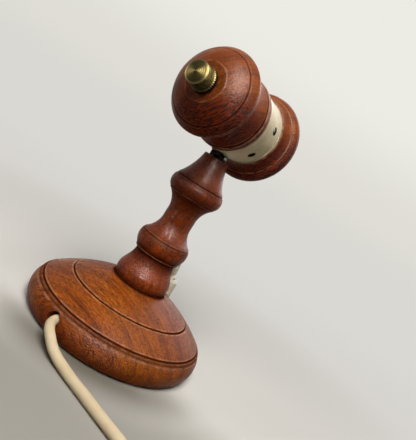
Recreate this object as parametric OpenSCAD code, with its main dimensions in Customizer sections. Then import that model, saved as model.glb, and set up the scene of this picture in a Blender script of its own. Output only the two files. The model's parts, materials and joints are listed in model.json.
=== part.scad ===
// Turned hardwood table lamp: a spot head that swivels and tilts on a small fork,
// on a turned column and a weighted round base with a toggle switch.
// The origin is the centre of the felt underside, Z is up and the head points along X.

/* [Base] */
// Radius of the ridge line round the rim
ridge_r = 50; // [46:0.5:60]
// Height of the ridge line above the table
ridge_z = 13.3; // [12.5:0.1:16]
// How far the rim swells past a straight side
rim_swell = 2.1; // [0.5:0.1:3]
// Height of the base under the column
crown_z = 32.4; // [31:0.1:38]
// Rise of the domed top above a straight cone
crown_bow = 1.75; // [0.5:0.05:3]
// Radius of the inner turned groove
inner_groove_r = 35.35; // [22:0.05:46]
// Side of the square tool that cuts the base's grooves
groove_w = 1.1; // [0.6:0.1:1.6]
// Radius of the hollow under the base
hollow_r = 37; // [30:0.5:40]
// Height of the ceiling of the hollow
hollow_top = 14; // [13.5:0.1:15]
// Thickness of the felt
felt_t = 2; // [1:0.1:3]
// Thickness of the steel ballast plate
plate_t = 2; // [1.6:0.1:2.4]
// How far the plate reaches past the hollow
plate_step = 6; // [5.5:0.1:6.5]
// Radius of the hole in the middle of the plate
plate_hole_r = 12; // [11:0.5:20]

/* [Column] */
// Radius of the foot where it meets the base
foot_r = 15.1; // [13:0.1:20]
// Height of the foot bulb
bulb_h = 17.6; // [14:0.1:24]
// Height of the rounded belly of the foot bulb
belly_h = 8.8; // [6:0.1:12]
// Radius of the neck above the foot bulb
neck_r = 11.9; // [10:0.1:13]
// Height of the lower collar
low_collar_h = 11; // [8:0.1:16]
// Radius of the groove on top of a collar
collar_r = 14.36; // [13:0.02:18]
// Length of the waist between the collars
waist_h = 27.2; // [20:0.1:40]
// Smallest radius of the waist
waist_r = 8.75; // [7.5:0.05:12]
// Height of the upper collar
up_collar_h = 8; // [6:0.1:12]
// Height of the tapering top
cone_h = 17; // [14:0.1:30]
// Radius of the very top
top_r = 7.31; // [6.8:0.01:10]
// Side of the square tool that cuts the fine lines of column and head
line_w = 0.8; // [0.5:0.1:1.1]
// Outer radius of the threaded tube
tube_r = 4.95; // [4.9:0.05:5.3]
// Radius of the bore of the threaded tube
tube_bore_r = 3.6; // [3.4:0.05:3.7]

/* [Neck] */
// Height of the hinge pin above the top of the column
pin_rise = 1.85; // [1.8:0.05:3]
// Radius of the hinge pin
pin_r = 0.9; // [0.7:0.05:1.1]
// Radius of the fork and tongue round the pin
eye_r = 1.6; // [1.4:0.05:1.65]
// Width across the fork
fork_w = 9.4; // [8:0.1:9.8]
// Width of the tongue
tongue_w = 3.6; // [2.5:0.1:4.4]
// Length of the swivel stem below its flange
stem_l = 14; // [10:0.5:25]

/* [Head] */
// Tilt of the head at rest, front down
rest_tilt = 2.2; // [-5:0.1:5]
// Outer radius of the can
can_r = 19.65; // [18:0.05:24]
// Wall of the can
can_wall = 0.9; // [0.6:0.1:1.5]
// Gap between the hinge eye and the can
can_gap = 0.3; // [0.3:0.05:1]
// Where the back of the can is, behind the column axis
can_back = 11; // [9:0.1:14]
// Where the front ring starts, ahead of the column axis
ring_back = 10.9; // [9:0.1:14]
// Depth of the front ring
ring_d = 17; // [14:0.1:24]
// How deep the can sits in the front ring
can_in = 9; // [6:0.1:11]
// Where the front ring is widest, from its back
ring_crest = 11.9; // [10:0.1:13]
// Largest radius of the front ring
ring_r = 26.6; // [25:0.1:32]
// Height of the wooden back from the can to its spot-face
dome_l = 36.7; // [34:0.1:50]
// Length of the stage between the can and the undercut
stage_l = 20.2; // [18:0.1:22]
// Width of the undercut below the dome
undercut_w = 2.6; // [1.5:0.1:4]
// Width of the dome's rounded edge
edge_w = 3.6; // [2:0.1:5]
// Largest radius of the dome
dome_r = 22.5; // [20:0.1:28]
// Radius of the flat spot-face under the finial
spot_r = 10.5; // [8:0.1:13]
// Radius of the hollow for the lampholder
socket_r = 13; // [12.8:0.1:14]
// Number of vent places round the can, one of them taken by the neck
vent_places = 7; // [5:1:9]
// Radius of a vent hole
vent_r = 2.2; // [1:0.1:3]
// Where the vents are, ahead of the column axis
vent_s = 2.1; // [-3:0.1:5]
// Length of the finial
finial_l = 10.2; // [8:0.1:14]
// Radius of the knurled flange of the finial
finial_r = 6.4; // [6.1:0.1:9]
// Radius of the finial's round body
finial_body_r = 5.75; // [5.5:0.05:6]
// Number of grooves in the knurl
knurl_n = 36; // [16:1:48]

/* [Bulb and holder] */
// How far the lampholder sits back in the wood
holder_sunk = 19; // [17:0.1:20]
// Radius of the lampholder skirt
holder_r = 12.2; // [11.5:0.1:12.5]
// Length of the whole lampholder
holder_l = 35; // [33:0.5:38]
// Radius of the bulb glass
glass_r = 13.2; // [9:0.1:13.4]
// Length of the bulb past the holder
glass_l = 22.5; // [18:0.5:22.5]

/* [Switch] */
// Distance of the switch from the column axis
switch_x = 29; // [27:0.1:31]
// Radius of the cream collar
switch_r = 6.3; // [5.8:0.1:8]
// Height of the top of the collar above the table
switch_top = 38; // [36:0.1:42]
// Length of the lever past the collar
lever_l = 15; // [10:0.5:20]
// Largest radius of the lever
lever_r = 2.9; // [2.5:0.1:3.1]
// Lean of the lever at rest, to the column
lever_lean = 10; // [6:1:12]

/* [Cord] */
// Diameter of the cord
cord_d = 4.8; // [4.6:0.1:5.4]
// Height of the cord hole
hole_z = 8.8; // [8.6:0.1:9]
// Radius of the cord hole
hole_r = 4; // [3.8:0.1:4.1]
// Number of turns in each layer of the coil
coil_turns = 4.375; // [2.375:1:5.375]
// Radius of the outermost turn of the coil
coil_r = 40.5; // [39:0.5:46]
// Distance between neighbouring turns
coil_pitch = 6; // [5.9:0.1:6.2]

/* [Hidden] */
$fn = 96;

wood = "#80401c";
cream = "#d8c8a8";
ivory = "#f0dfbf";
brass = "#b08d4c";
steel = "#b8b8b4";
black = "#1c1a19";

// Clearances
slip = 0.1;
run = 0.05;
cut = 0.5;

// Heights and radii of the base
wood_lift = 0.8;
plate_r = hollow_r + plate_step;
plate_top = felt_t + plate_t;
outer_groove = [ridge_r - 1.66, ridge_z + 2.5];
washer_t = 1.2;
nut_t = 4;
nut_r = 8;
tube_end = hollow_top - washer_t - nut_t - 2.2;
plate_screw_r = 1.5;
plate_screw_head = 0.9;
plate_screw_ring = hollow_r + 2.6;
plate_screw_l = 6;
plate_screw_turn = 30;

// Heights of the column, from the base up
collar_z = crown_z + bulb_h;
waist_z = collar_z + low_collar_h;
up_collar_z = waist_z + waist_h;
cone_z = up_collar_z + up_collar_h;
top_z = cone_z + cone_h;
seat_depth = 2.8;
seat_z = top_z - seat_depth;
seat_r = fork_w / 2 + 0.75;
thrust_t = 0.6;
flange_z = seat_z + thrust_t + run;

// The hinge, and the head's own frame: its axis is X, and the column axis crosses it at 0
pin_z = top_z + pin_rise;
axis_rise = eye_r + can_gap + can_r;
fork_gap = 0.15;
stud_r = 1.6;
head_nut_t = 2.4;
dome_face = -can_back;
spot_s = dome_face - dome_l;
can_front = ring_back + can_in;
holder_back = dome_face - holder_sunk;
holder_front = holder_back + holder_l;
cap_t = 1;

// The switch
bush_r = 4.6;
switch_cover = 12.4;
bush_z = crown_z - switch_cover;
body_r = 7.5;
lever_z = switch_top - 2.4;
lever_pin_r = 0.8;

// The cord and its coil
cord_r = cord_d / 2;
floor_z = cord_r + 0.1;
tie_t = 0.5;
tie_room = 0.3;
tie_w = 6;
coil_z = cord_r + tie_t + tie_room;
coil_dip = 0.5;
coil_tail = 26;
clamp_x = -28;
clamp_w = 8;
coil_x = -29;
coil_y = -139;
layer_rise = coil_pitch;
coil_step = 15;
coil_span = 360 * coil_turns;
coil_start = [coil_x - coil_r, coil_y + cord_d, coil_z];
// Points of the free stretch, from the clamp out of the hole and along the table to the coil
cord_route = [[clamp_x + clamp_w / 2, 0, hole_z], [-34, 0, hole_z], [-44, 0, hole_z],
    [-48, -0.1, 8.8], [-51.4, -0.8, 8.6], [-54.4, -2.5, 8.2], [-56.8, -5.4, 7.4],
    [-58.5, -9.4, 6.1], [-59.9, -14, 4.5], [-60.7, -19.2, 3.3], [-61.3, -24.6, 2.7],
    [-62.2, -31.2, floor_z], [-63.1, -39, floor_z], [-64.1, -46.4, floor_z],
    [-65, -53.5, floor_z], [-65.8, -60.4, floor_z], [-66.6, -68, floor_z],
    [-67.5, -78, floor_z], [-68.3, -90, floor_z], [-69, -103, floor_z],
    [-69.4, -115, 3], coil_start + [0, 8, 0], coil_start];

// A round stretch from p to q that stands h to the right of the straight line, in n steps
function bow_radius(p, q, h) = (pow(norm(q - p), 2) / 4 + h * h) / (2 * h);
function bow_centre(p, q, h) = (p + q) / 2
    + [q[1] - p[1], p[0] - q[0]] / norm(q - p) * (h - bow_radius(p, q, h));
function turn_between(a, b) = b - a > 180 ? b - a - 360 : b - a < -180 ? b - a + 360 : b - a;
function bearing(c, p) = atan2(p[1] - c[1], p[0] - c[0]);
function bow(p, q, h, n = 8) =
    let (c = bow_centre(p, q, h),
        a = bearing(c, p),
        d = turn_between(a, bearing(c, q)),
        r = abs(bow_radius(p, q, h)))
    [for (i = [0 : n]) c + r * [cos(a + d * i / n), sin(a + d * i / n)]];

// The domed top of the base, and its height at radius r
crown_edge = outer_groove;
crown_seat = [foot_r, crown_z];
crown_c = bow_centre(crown_edge, crown_seat, crown_bow);
crown_rad = bow_radius(crown_edge, crown_seat, crown_bow);
function crown_at(r) = crown_c[1] + sqrt(pow(crown_rad, 2) - pow(r - crown_c[0], 2));

// A tube of n sides along points, with flat ends square to the first and last run
function along(pts, i) =
    let (d = pts[min(i + 1, len(pts) - 1)] - pts[max(i - 1, 0)]) d / norm(d);
function side_of(t) = let (s = cross([0, 0, 1], t)) s / norm(s);
function tube_ring(p, t, r, n) =
    let (s = side_of(t), u = cross(t, s))
    [for (k = [0 : n - 1]) p + r * (cos(360 * k / n) * s + sin(360 * k / n) * u)];
module tube(pts, r, n) {
    m = len(pts);
    rings = [for (i = [0 : m - 1]) each tube_ring(pts[i], along(pts, i), r, n)];
    first_end = [for (k = [1 : n - 2]) [0, k, k + 1]];
    last_end = [for (k = [1 : n - 2]) [(m - 1) * n, (m - 1) * n + k + 1, (m - 1) * n + k]];
    walls = [for (i = [0 : m - 2]) for (k = [0 : n - 1])
        let (a = i * n + k, b = i * n + (k + 1) % n) each [[a, a + n, b], [b, a + n, b + n]]];
    polyhedron(rings, concat(first_end, walls, last_end));
}

// The coil: in on the lower layer, up during half a turn, out on the upper layer
coil_inner = coil_r - coil_pitch * coil_turns;
function coil_radius(a) = a < coil_span ? coil_r - coil_pitch * a / 360
    : a < coil_span + 180 ? coil_inner - coil_dip * sin(a - coil_span)
    : coil_inner + coil_pitch * (a - coil_span - 180) / 360;
function coil_height(a) = coil_z
    + layer_rise * (1 - cos(180 * min(1, max(0, (a - coil_span) / 180)))) / 2;
function coil_point(a) =
    [coil_x - coil_radius(a) * cos(a), coil_y - coil_radius(a) * sin(a), coil_height(a)];
coil_last = 2 * coil_span + 180;
coil_mid = [for (a = [0 : coil_step : coil_last]) coil_point(a)];
coil_grow = coil_pitch / (2 * PI);
coil_dir = [coil_radius(coil_last) * sin(coil_last) - coil_grow * cos(coil_last),
    -coil_radius(coil_last) * cos(coil_last) - coil_grow * sin(coil_last), 0]
    / norm([coil_radius(coil_last), coil_grow]);
coil_tip = coil_mid[len(coil_mid) - 1] + coil_dir * coil_tail;
coil_path = concat([coil_start], coil_mid, [coil_tip]);
// Least gap between turns, over points at least three quarters of a turn apart
coil_apart = 270 / coil_step;
coil_gap = min([for (i = [0 : len(coil_mid) - 1])
    for (j = [i + coil_apart : len(coil_mid) - 1]) norm(coil_mid[i] - coil_mid[j])]) - cord_d;
echo(coil_gap = coil_gap);

// Places a child from the head's own frame
module in_head() {
    translate([0, 0, pin_z]) rotate([0, rest_tilt, 0]) translate([0, 0, axis_rise]) children();
}
// Turns an outline of [radius, place along the head] about the head's axis
module head_turn(outline) {
    rotate([0, 90, 0]) rotate_extrude() polygon(outline);
}
// A plain disc or pipe on the head's axis from a to b
module head_pipe(a, b, r, bore = 0) {
    translate([a, 0, 0]) rotate([0, 90, 0]) difference() {
        cylinder(h = b - a, r = r);
        if (bore > 0) translate([0, 0, -cut]) cylinder(h = b - a + 2 * cut, r = bore);
    }
}
// A turned V groove at radius r and height z, cut with a square tool of side w
module groove(r, z, w) {
    rotate_extrude() translate([r, z]) rotate(45) square(w, center = true);
}
// Three copies round the Z axis
module three_round(start = 0) {
    for (a = [0 : 120 : 240]) rotate(a + start) children();
}

module base() {
    color(wood) difference() {
        rotate_extrude() polygon(concat([[0, wood_lift]],
            bow([ridge_r - 1, wood_lift], [ridge_r, ridge_z], rim_swell, 12),
            bow(crown_edge, crown_seat, crown_bow, 16), [[0, crown_z]]));
        groove(outer_groove[0], outer_groove[1], groove_w);
        groove(inner_groove_r, crown_at(inner_groove_r), groove_w);
        translate([0, 0, wood_lift - cut]) cylinder(h = hollow_top - wood_lift + cut, r = hollow_r);
        translate([0, 0, wood_lift - cut]) cylinder(h = plate_top - wood_lift + cut, r = plate_r + slip);
        cylinder(h = crown_z + cut, r = tube_r + slip);
        translate([switch_x, 0, 0]) cylinder(h = bush_z, r = body_r + 2 * slip);
        translate([switch_x, 0, 0]) cylinder(h = crown_z, r = bush_r + slip);
        translate([-hollow_r + cut, 0, hole_z]) rotate([0, -90, 0])
            cylinder(h = ridge_r, r = hole_r);
        three_round(plate_screw_turn) translate([plate_screw_ring, 0, 0])
            cylinder(h = plate_top + plate_screw_l, r = plate_screw_r + run);
        for (y = [-1, 1]) translate([clamp_x, y * clamp_screw_y, 0])
            cylinder(h = hollow_top + clamp_screw_bite, r = clamp_screw_r + run);
    }
}

module base_felt() {
    color("#3a4a34") cylinder(h = felt_t, r = plate_r);
}

module ballast_plate() {
    color(steel) difference() {
        translate([0, 0, felt_t]) cylinder(h = plate_t, r = plate_r);
        cylinder(h = plate_top + cut, r = plate_hole_r);
        three_round(plate_screw_turn) translate([plate_screw_ring, 0, 0]) plate_screw(run);
    }
}

// Countersunk wood screw through the plate, grown by g
module plate_screw(g) {
    head_h = plate_screw_head + g;
    translate([0, 0, felt_t]) cylinder(h = plate_t + plate_screw_l - g, r = plate_screw_r + g);
    translate([0, 0, felt_t]) cylinder(h = head_h, r1 = plate_screw_r + head_h, r2 = plate_screw_r);
}
module plate_screws() {
    color(steel) three_round(plate_screw_turn) translate([plate_screw_ring, 0, 0]) plate_screw(0);
}

module tube_nut() {
    color(steel) difference() {
        translate([0, 0, hollow_top - washer_t - nut_t]) cylinder(h = nut_t, r = nut_r, $fn = 6);
        cylinder(h = hollow_top, r = tube_r + run);
    }
}
module tube_washer() {
    color(steel) difference() {
        translate([0, 0, hollow_top - washer_t]) cylinder(h = washer_t, r = nut_r + 3);
        cylinder(h = hollow_top + cut, r = tube_r + slip);
    }
}

// Snap ring that keeps the swivel stem in the tube
ring_t = 0.8;
ring_z = flange_z - stem_l + 4;
ring_out = tube_bore_r + 0.5;
ring_in = tube_bore_r - 0.35;
stem_r = tube_bore_r - run;

module threaded_tube() {
    color(steel) difference() {
        translate([0, 0, tube_end]) cylinder(h = seat_z - tube_end, r = tube_r);
        cylinder(h = top_z, r = tube_bore_r);
        translate([0, 0, ring_z]) cylinder(h = ring_t + slip, r = ring_out + slip);
    }
}
module snap_ring() {
    color(steel) translate([0, 0, ring_z]) difference() {
        cylinder(h = ring_t, r = ring_out);
        translate([0, 0, -cut]) cylinder(h = ring_t + 2 * cut, r = ring_in);
        translate([0, -0.5, -cut]) cube([ring_out + cut, 1, ring_t + 2 * cut]);
    }
}
module friction_washer() {
    color("#6b4a2a") translate([0, 0, seat_z]) difference() {
        cylinder(h = thrust_t, r = seat_r - slip);
        translate([0, 0, -cut]) cylinder(h = thrust_t + 2 * cut, r = stem_r + slip);
    }
}

module column() {
    bead = 1.15;
    shoulder = [collar_r - 0.5, waist_z + 0.8];
    up_shoulder = [collar_r - 0.5, up_collar_z - 0.6];
    waist_mid = waist_z + waist_h / 2;
    low_lip = [collar_r - 1.1, collar_z + 1.4];
    color(wood) difference() {
        rotate_extrude() polygon(concat([[0, crown_z]],
            bow([foot_r, crown_z], [foot_r - 0.4, crown_z + belly_h], 1, 6),
            bow([foot_r - 0.5, crown_z + belly_h + 0.4], [neck_r, collar_z - 1.2], -0.4, 6),
            [[neck_r, collar_z + 0.3], low_lip - [0.2, 0.5], low_lip],
            bow([collar_r - 1, collar_z + 2.2], [collar_r, waist_z], bead, 8),
            bow(shoulder, [waist_r, waist_mid], -1.9, 8),
            bow([waist_r, waist_mid + 0.1], up_shoulder, -1.9, 8),
            bow([collar_r - 0.2, up_collar_z], [collar_r, cone_z], bead + 0.2, 8),
            bow([collar_r - 0.4, cone_z + 0.7], [top_r, top_z - 0.4], -1.1, 8),
            [[top_r - 0.4, top_z], [0, top_z]]));
        groove(low_lip[0] + 0.2, low_lip[1] + 0.5, line_w);
        groove(collar_r + 0.1, waist_z, line_w);
        groove(collar_r - 0.2, up_collar_z - 0.1, line_w);
        groove(collar_r + 0.1, cone_z + 0.2, line_w);
        cylinder(h = top_z + cut, r = tube_r + slip);
        translate([0, 0, seat_z]) cylinder(h = seat_depth + cut, r = seat_r);
    }
}

// Cord clamp on the ceiling of the hollow
clamp_screw_r = 1.4;
clamp_screw_y = 7;
clamp_screw_bite = 5;
clamp_z = hole_z - 3.6;
clamp_head_h = 0.6;
module cord_clamp() {
    color(black) difference() {
        translate([clamp_x - clamp_w / 2, -10, clamp_z]) cube([clamp_w, 20, hollow_top - clamp_z]);
        translate([clamp_x, 0, hole_z]) rotate([0, 90, 0])
            cylinder(h = clamp_w + 2 * cut, r = cord_r + run, center = true);
        for (y = [-1, 1]) translate([clamp_x, y * clamp_screw_y, 0])
            cylinder(h = hollow_top + cut, r = clamp_screw_r + run);
    }
}
module clamp_screws() {
    color(steel) for (y = [-1, 1]) translate([clamp_x, y * clamp_screw_y, clamp_z - clamp_head_h]) {
        cylinder(h = clamp_head_h, r = clamp_screw_r + 1);
        cylinder(h = hollow_top + clamp_screw_bite - clamp_z + clamp_head_h - run, r = clamp_screw_r);
    }
}
module inner_leads() {
    lead_r = 1.1;
    color(ivory) for (y = [-1, 1])
        translate([0, y * (tube_bore_r - lead_r - slip), tube_end])
            cylinder(h = ring_z - 6 - tube_end, r = lead_r);
}

// Toggle switch
module switch_body() {
    color(black) difference() {
        translate([switch_x, 0, plate_top + 1]) cylinder(h = bush_z - plate_top - 1, r = body_r);
        for (y = [-3, 3]) translate([switch_x, y, plate_top]) cylinder(h = 4, r = 0.9);
    }
}
module switch_bush() {
    color(steel) difference() {
        translate([switch_x, 0, bush_z]) cylinder(h = lever_z + 1.2 - bush_z, r = bush_r);
        translate([switch_x, 0, lever_z - 5]) cylinder(h = 10, r = lever_r + 0.8);
        translate([switch_x, 0, lever_z]) rotate([90, 0, 0])
            cylinder(h = 2 * bush_r + 2, r = lever_pin_r + run, center = true);
    }
}
module switch_collar() {
    seat_gap = 0.2;
    mouth_r = lever_r + 0.7;
    color(cream) difference() {
        translate([switch_x, 0, 0]) rotate_extrude() polygon(concat(
            [[0, bush_z], [switch_r, bush_z], [switch_r - 0.3, switch_top - 3]],
            bow([switch_r - 0.35, switch_top - 2.9], [switch_r - 3, switch_top], 0.9, 6),
            [[0, switch_top]]));
        rotate_extrude() polygon(concat([[0, 0], [crown_edge[0] + 4, 0]],
            [for (p = bow(crown_edge, crown_seat, crown_bow, 16)) p + [0, seat_gap]],
            [[0, crown_z + seat_gap]]));
        translate([switch_x, 0, 0]) cylinder(h = lever_z + 1.4, r = bush_r + slip);
        translate([switch_x, 0, 0]) cylinder(h = switch_top + cut, r = mouth_r);
    }
}
module switch_lever() {
    tip = switch_top - lever_z + lever_l;
    color(cream) translate([switch_x, 0, lever_z]) rotate([0, -lever_lean, 0]) difference() {
        rotate_extrude() polygon(concat([[0, -3]],
            bow([1.6, -3], [lever_r, 0], 0.5, 4),
            bow([lever_r, 0.2], [2, 4], 0.4, 4),
            bow([2, 4.4], [lever_r, 7], 0.3, 4),
            bow([lever_r, 7.4], [lever_r - 0.5, tip - 2.4], 0.1, 4),
            bow([lever_r - 0.5, tip - 2.2], [0, tip], 0.8, 6)));
        rotate([90, 0, 0]) cylinder(h = 2 * bush_r, r = lever_pin_r + run, center = true);
    }
}
module lever_pin() {
    color(steel) translate([switch_x, 0, lever_z]) rotate([90, 0, 0])
        cylinder(h = 2 * bush_r - 0.4, r = lever_pin_r, center = true);
}

// Neck
module fork() {
    top_of_flange = pin_z - eye_r - 0.25;
    cheek = (fork_w - tongue_w) / 2 - fork_gap;
    color(black) difference() {
        union() {
            translate([0, 0, flange_z]) cylinder(h = top_of_flange - flange_z, r = seat_r - 2 * slip);
            translate([0, 0, flange_z - stem_l]) cylinder(h = stem_l, r = stem_r);
            for (y = [-1, 1]) translate([0, y * (tongue_w / 2 + fork_gap + cheek / 2), 0]) {
                translate([0, 0, pin_z]) rotate([90, 0, 0]) cylinder(h = cheek, r = eye_r, center = true);
                translate([-eye_r, -cheek / 2, flange_z]) cube([2 * eye_r, cheek, pin_z - flange_z]);
            }
        }
        translate([0, 0, pin_z]) rotate([90, 0, 0])
            cylinder(h = fork_w + 1, r = pin_r + 0.01, center = true);
        translate([0, 0, ring_z - slip]) difference() {
            cylinder(h = ring_t + 2 * slip, r = stem_r + 1);
            translate([0, 0, -cut]) cylinder(h = ring_t + 2 * cut, r = ring_in - slip);
        }
        translate([0, 0, flange_z - stem_l - cut]) cylinder(h = stem_l, r = 1.8);
    }
}
module hinge_pin() {
    rivet_h = 0.6;
    color(steel) translate([0, 0, pin_z]) rotate([90, 0, 0]) {
        cylinder(h = fork_w, r = pin_r, center = true);
        for (m = [0, 1]) mirror([0, 0, m]) translate([0, 0, fork_w / 2])
            cylinder(h = rivet_h, r1 = pin_r + 0.6, r2 = pin_r);
    }
}
module tongue() {
    shoulder = can_r + 0.05;
    blade_x = 2 * eye_r;
    stud_top = can_r - can_wall - head_nut_t - 0.8;
    color(black) in_head() difference() {
        union() {
            translate([0, 0, -axis_rise]) rotate([90, 0, 0])
                cylinder(h = tongue_w, r = eye_r, center = true);
            translate([-blade_x / 2, -tongue_w / 2, -axis_rise])
                cube([blade_x, tongue_w, axis_rise - shoulder]);
            translate([0, 0, -axis_rise + eye_r]) cylinder(h = axis_rise - eye_r - stud_top, r = stud_r);
        }
        translate([0, 0, -axis_rise]) rotate([90, 0, 0])
            cylinder(h = tongue_w + 1, r = pin_r + 0.04, center = true);
    }
}
module tongue_nut() {
    half_flat = 2.75;
    nut_seat = sqrt(pow(can_r - can_wall, 2) - pow(half_flat * 1.16, 2)) - 0.02;
    color(steel) in_head() difference() {
        translate([0, 0, -nut_seat]) cylinder(h = head_nut_t, r = half_flat * 1.16, $fn = 6);
        translate([0, 0, -can_r]) cylinder(h = can_r, r = stud_r + run);
    }
}

// Head
can_screw_r = 1.2;
can_screw_ring = (socket_r + can_r - can_wall) / 2;
can_screw_head = 0.8;
can_screw_l = 8;
module lamp_can() {
    step_w = 1.2;
    color(cream) in_head() difference() {
        union() {
            head_pipe(-can_back, can_front, can_r);
            head_pipe(ring_back - step_w, ring_back, can_r + 0.5);
        }
        head_pipe(-can_back + can_wall, can_front + cut, can_r - can_wall);
        head_pipe(-can_back - cut, 0, socket_r + 0.2);
        for (k = [1 : vent_places - 1]) rotate([180 + 360 * k / vent_places, 0, 0])
            translate([vent_s, 0, can_r - can_wall - 1]) cylinder(h = can_wall + 2, r = vent_r);
        translate([0, 0, -can_r - 1]) cylinder(h = can_wall + 2, r = stud_r + slip);
        rotate([0, 90, 0]) three_round() translate([can_screw_ring, 0, -can_back - cut])
            cylinder(h = can_wall + 2 * cut, r = can_screw_r + run);
    }
}
module can_screws() {
    color(steel) in_head() rotate([0, 90, 0]) three_round() translate([can_screw_ring, 0, 0]) {
        translate([0, 0, -can_back + can_wall]) cylinder(h = can_screw_head, r = can_screw_r + 1);
        translate([0, 0, -can_back - can_screw_l + run])
            cylinder(h = can_screw_l + can_wall, r = can_screw_r);
    }
}
module rear_dome() {
    under = [socket_r + 4.2, dome_face - stage_l];
    brim = [dome_r - 1, under[1] - undercut_w];
    wide = [dome_r, brim[1] - edge_w];
    dome_curve = bow([spot_r, spot_s + 0.3], wide, 1.5, 12);
    stage = [can_r + 0.75, dome_face - 0.3];
    bead = [can_r + 0.55, dome_face - 5];
    line = dome_curve[8];
    color(wood) in_head() difference() {
        head_turn(concat([[0, spot_s], [spot_r - 0.3, spot_s]],
            dome_curve, bow(wide, brim, 0.3, 4),
            [[under[0] + 0.6, brim[1] + 0.9]],
            bow(under, bead, -0.9, 8), bow(bead + [0.02, 0.1], stage, 0.35, 5),
            [[stage[0] - 0.6, dome_face], [0, dome_face]]));
        rotate([0, 90, 0]) groove(line[0], line[1], line_w);
        rotate([0, 90, 0]) groove(bead[0], bead[1], groove_w);
        head_pipe(holder_back - 1, 0, socket_r);
        head_pipe(spot_s - cut, 0, nipple_r + slip);
        rotate([0, 90, 0]) three_round() translate([can_screw_ring, 0, dome_face - can_screw_l])
            cylinder(h = can_screw_l + cut, r = can_screw_r + run);
    }
}
// The ring's small ridge, its flat front face and the straight part of its mouth
ridge_out = 0.425;
ridge_s = 7;
face_in = 0.5;
face_w = 2.05;
mouth_l = 2.5;
module front_ring() {
    front = ring_back + ring_d;
    fit_r = can_r + slip;
    mouth_r = can_r - can_wall;
    ridge = [(can_r + ring_r) / 2 + ridge_out, ring_back + ridge_s];
    crest = [ring_r, ring_back + ring_crest];
    face_mid = (mouth_r + ring_r) / 2 - face_in;
    color(wood) in_head() head_turn(concat([[fit_r, ring_back + run]],
        bow([can_r + 1, ring_back + run], ridge, -0.9, 8), [ridge + [0.3, 0.5]],
        bow(ridge + [0.3, 0.6], crest, 0.6, 8), bow(crest, [face_mid + face_w / 2, front], 1.1, 8),
        bow([face_mid - face_w / 2, front], [mouth_r, can_front + mouth_l], 0.6, 6),
        [[mouth_r, can_front + slip], [fit_r, can_front + slip]]));
}

// Lampholder, from the finial inward
nipple_r = 4.95;
nipple_bore_r = 3.6;
nipple_in = 5.6;
module nipple() {
    color(steel) in_head()
        head_pipe(spot_s - nipple_in, holder_back + 3, nipple_r, nipple_bore_r);
}
module finial() {
    flange_t = 3;
    chamfer = 0.5;
    cap_h = 1;
    knurl_d = 0.4;
    knurl_l = flange_t - chamfer - 0.2;
    rim = finial_l - cap_h;
    color(brass) in_head() mirror([1, 0, 0]) translate([-spot_s, 0, 0]) difference() {
        head_turn([[0, 0], [finial_r, 0], [finial_r, flange_t - chamfer], [finial_r - chamfer, flange_t],
            [finial_body_r, flange_t], [finial_body_r, rim - 0.2], [finial_body_r - 0.2, rim], [0, finial_l]]);
        head_pipe(-cut, nipple_in + 0.2, nipple_r + run);
        for (k = [0 : knurl_n - 1]) rotate([360 * k / knurl_n, 0, 0])
            translate([-cut, -knurl_d / 2, finial_r - knurl_d]) cube([knurl_l + cut, knurl_d, 1]);
    }
}
// Radius of the bulb's screw cap, and how the holder's pieces lie behind one another
shell_r = 7;
cap_r = holder_r - 1;
insert_r = cap_r - cap_t - slip;
insert_back = holder_back + 4;
insert_floor = insert_back + 3;
lip_t = 1.8;
insert_front = holder_front - lip_t - slip;
module holder_cap() {
    depth = 12;
    color(black) in_head() difference() {
        head_pipe(holder_back, holder_back + depth, cap_r);
        head_pipe(holder_back + cap_t, holder_back + depth + cut, cap_r - cap_t);
        head_pipe(holder_back - cut, holder_back + cap_t + cut, nipple_r + run);
    }
}
module holder_insert() {
    color("#e8e4da") in_head() difference() {
        head_pipe(insert_back, insert_front, insert_r);
        head_pipe(insert_floor, insert_front + cut, shell_r + 2 * slip);
        head_pipe(insert_back - cut, insert_floor + cut, contact_r + run);
    }
}
module holder_skirt() {
    color(black) in_head() difference() {
        union() {
            head_pipe(holder_back + 6, holder_front, holder_r);
            head_pipe(holder_front - 2.4, holder_front, holder_r + 0.6);
        }
        head_pipe(holder_back + 6 - cut, holder_front - lip_t, cap_r + run);
        head_pipe(holder_front - lip_t - cut, holder_front + cut, shell_r + 0.5);
    }
}
contact_r = 1.9;
contact_t = 1;
module holder_contact() {
    color(brass) in_head() {
        head_pipe(insert_back, insert_floor, contact_r);
        head_pipe(insert_floor, insert_floor + contact_t, 2 * contact_r);
    }
}
module bulb_cap() {
    button = insert_floor + contact_t + run;
    color("#c9c2b0") in_head() {
        head_pipe(button, button + 2, shell_r / 2);
        head_pipe(button + 2, holder_front - 1, shell_r);
    }
}
module bulb_glass() {
    neck = holder_front - 1;
    tip = holder_front + glass_l;
    color("#f4f1e8") in_head() head_turn(concat([[0, neck], [shell_r - 0.2, neck]],
        bow([shell_r - 0.2, neck + 1.5], [glass_r, neck + 7], -0.4, 5),
        bow([glass_r, neck + 7.2], [glass_r, tip - 8], 0.05, 2),
        bow([glass_r, tip - 7.8], [0, tip], 2.6, 10)));
}

// Cord, coil and plug
module cord() {
    color(ivory) tube(cord_route, cord_r, 8);
}
module cord_coil() {
    color(ivory) tube(coil_path, cord_r, 6);
}
module coil_tie() {
    hole_side = coil_inner - coil_dip - cord_r;
    tie_in = sqrt(pow(hole_side, 2) - pow(tie_w / 2, 2)) - tie_room;
    tie_out = coil_r - coil_pitch / 2 + cord_r + tie_room;
    wide = tie_out - tie_in;
    high = layer_rise + cord_d + 2 * tie_room;
    mid = (tie_out + tie_in) / 2;
    color(black) translate([coil_x + mid, coil_y, coil_z + layer_rise / 2]) difference() {
        cube([wide + 2 * tie_t, tie_w, high + 2 * tie_t], center = true);
        cube([wide, tie_w + 2 * cut, high], center = true);
    }
}
plug_w = 26;
plug_l = 30;
plug_h = 17;
pin_pitch = 18.6;
pin_len = 19;
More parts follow.
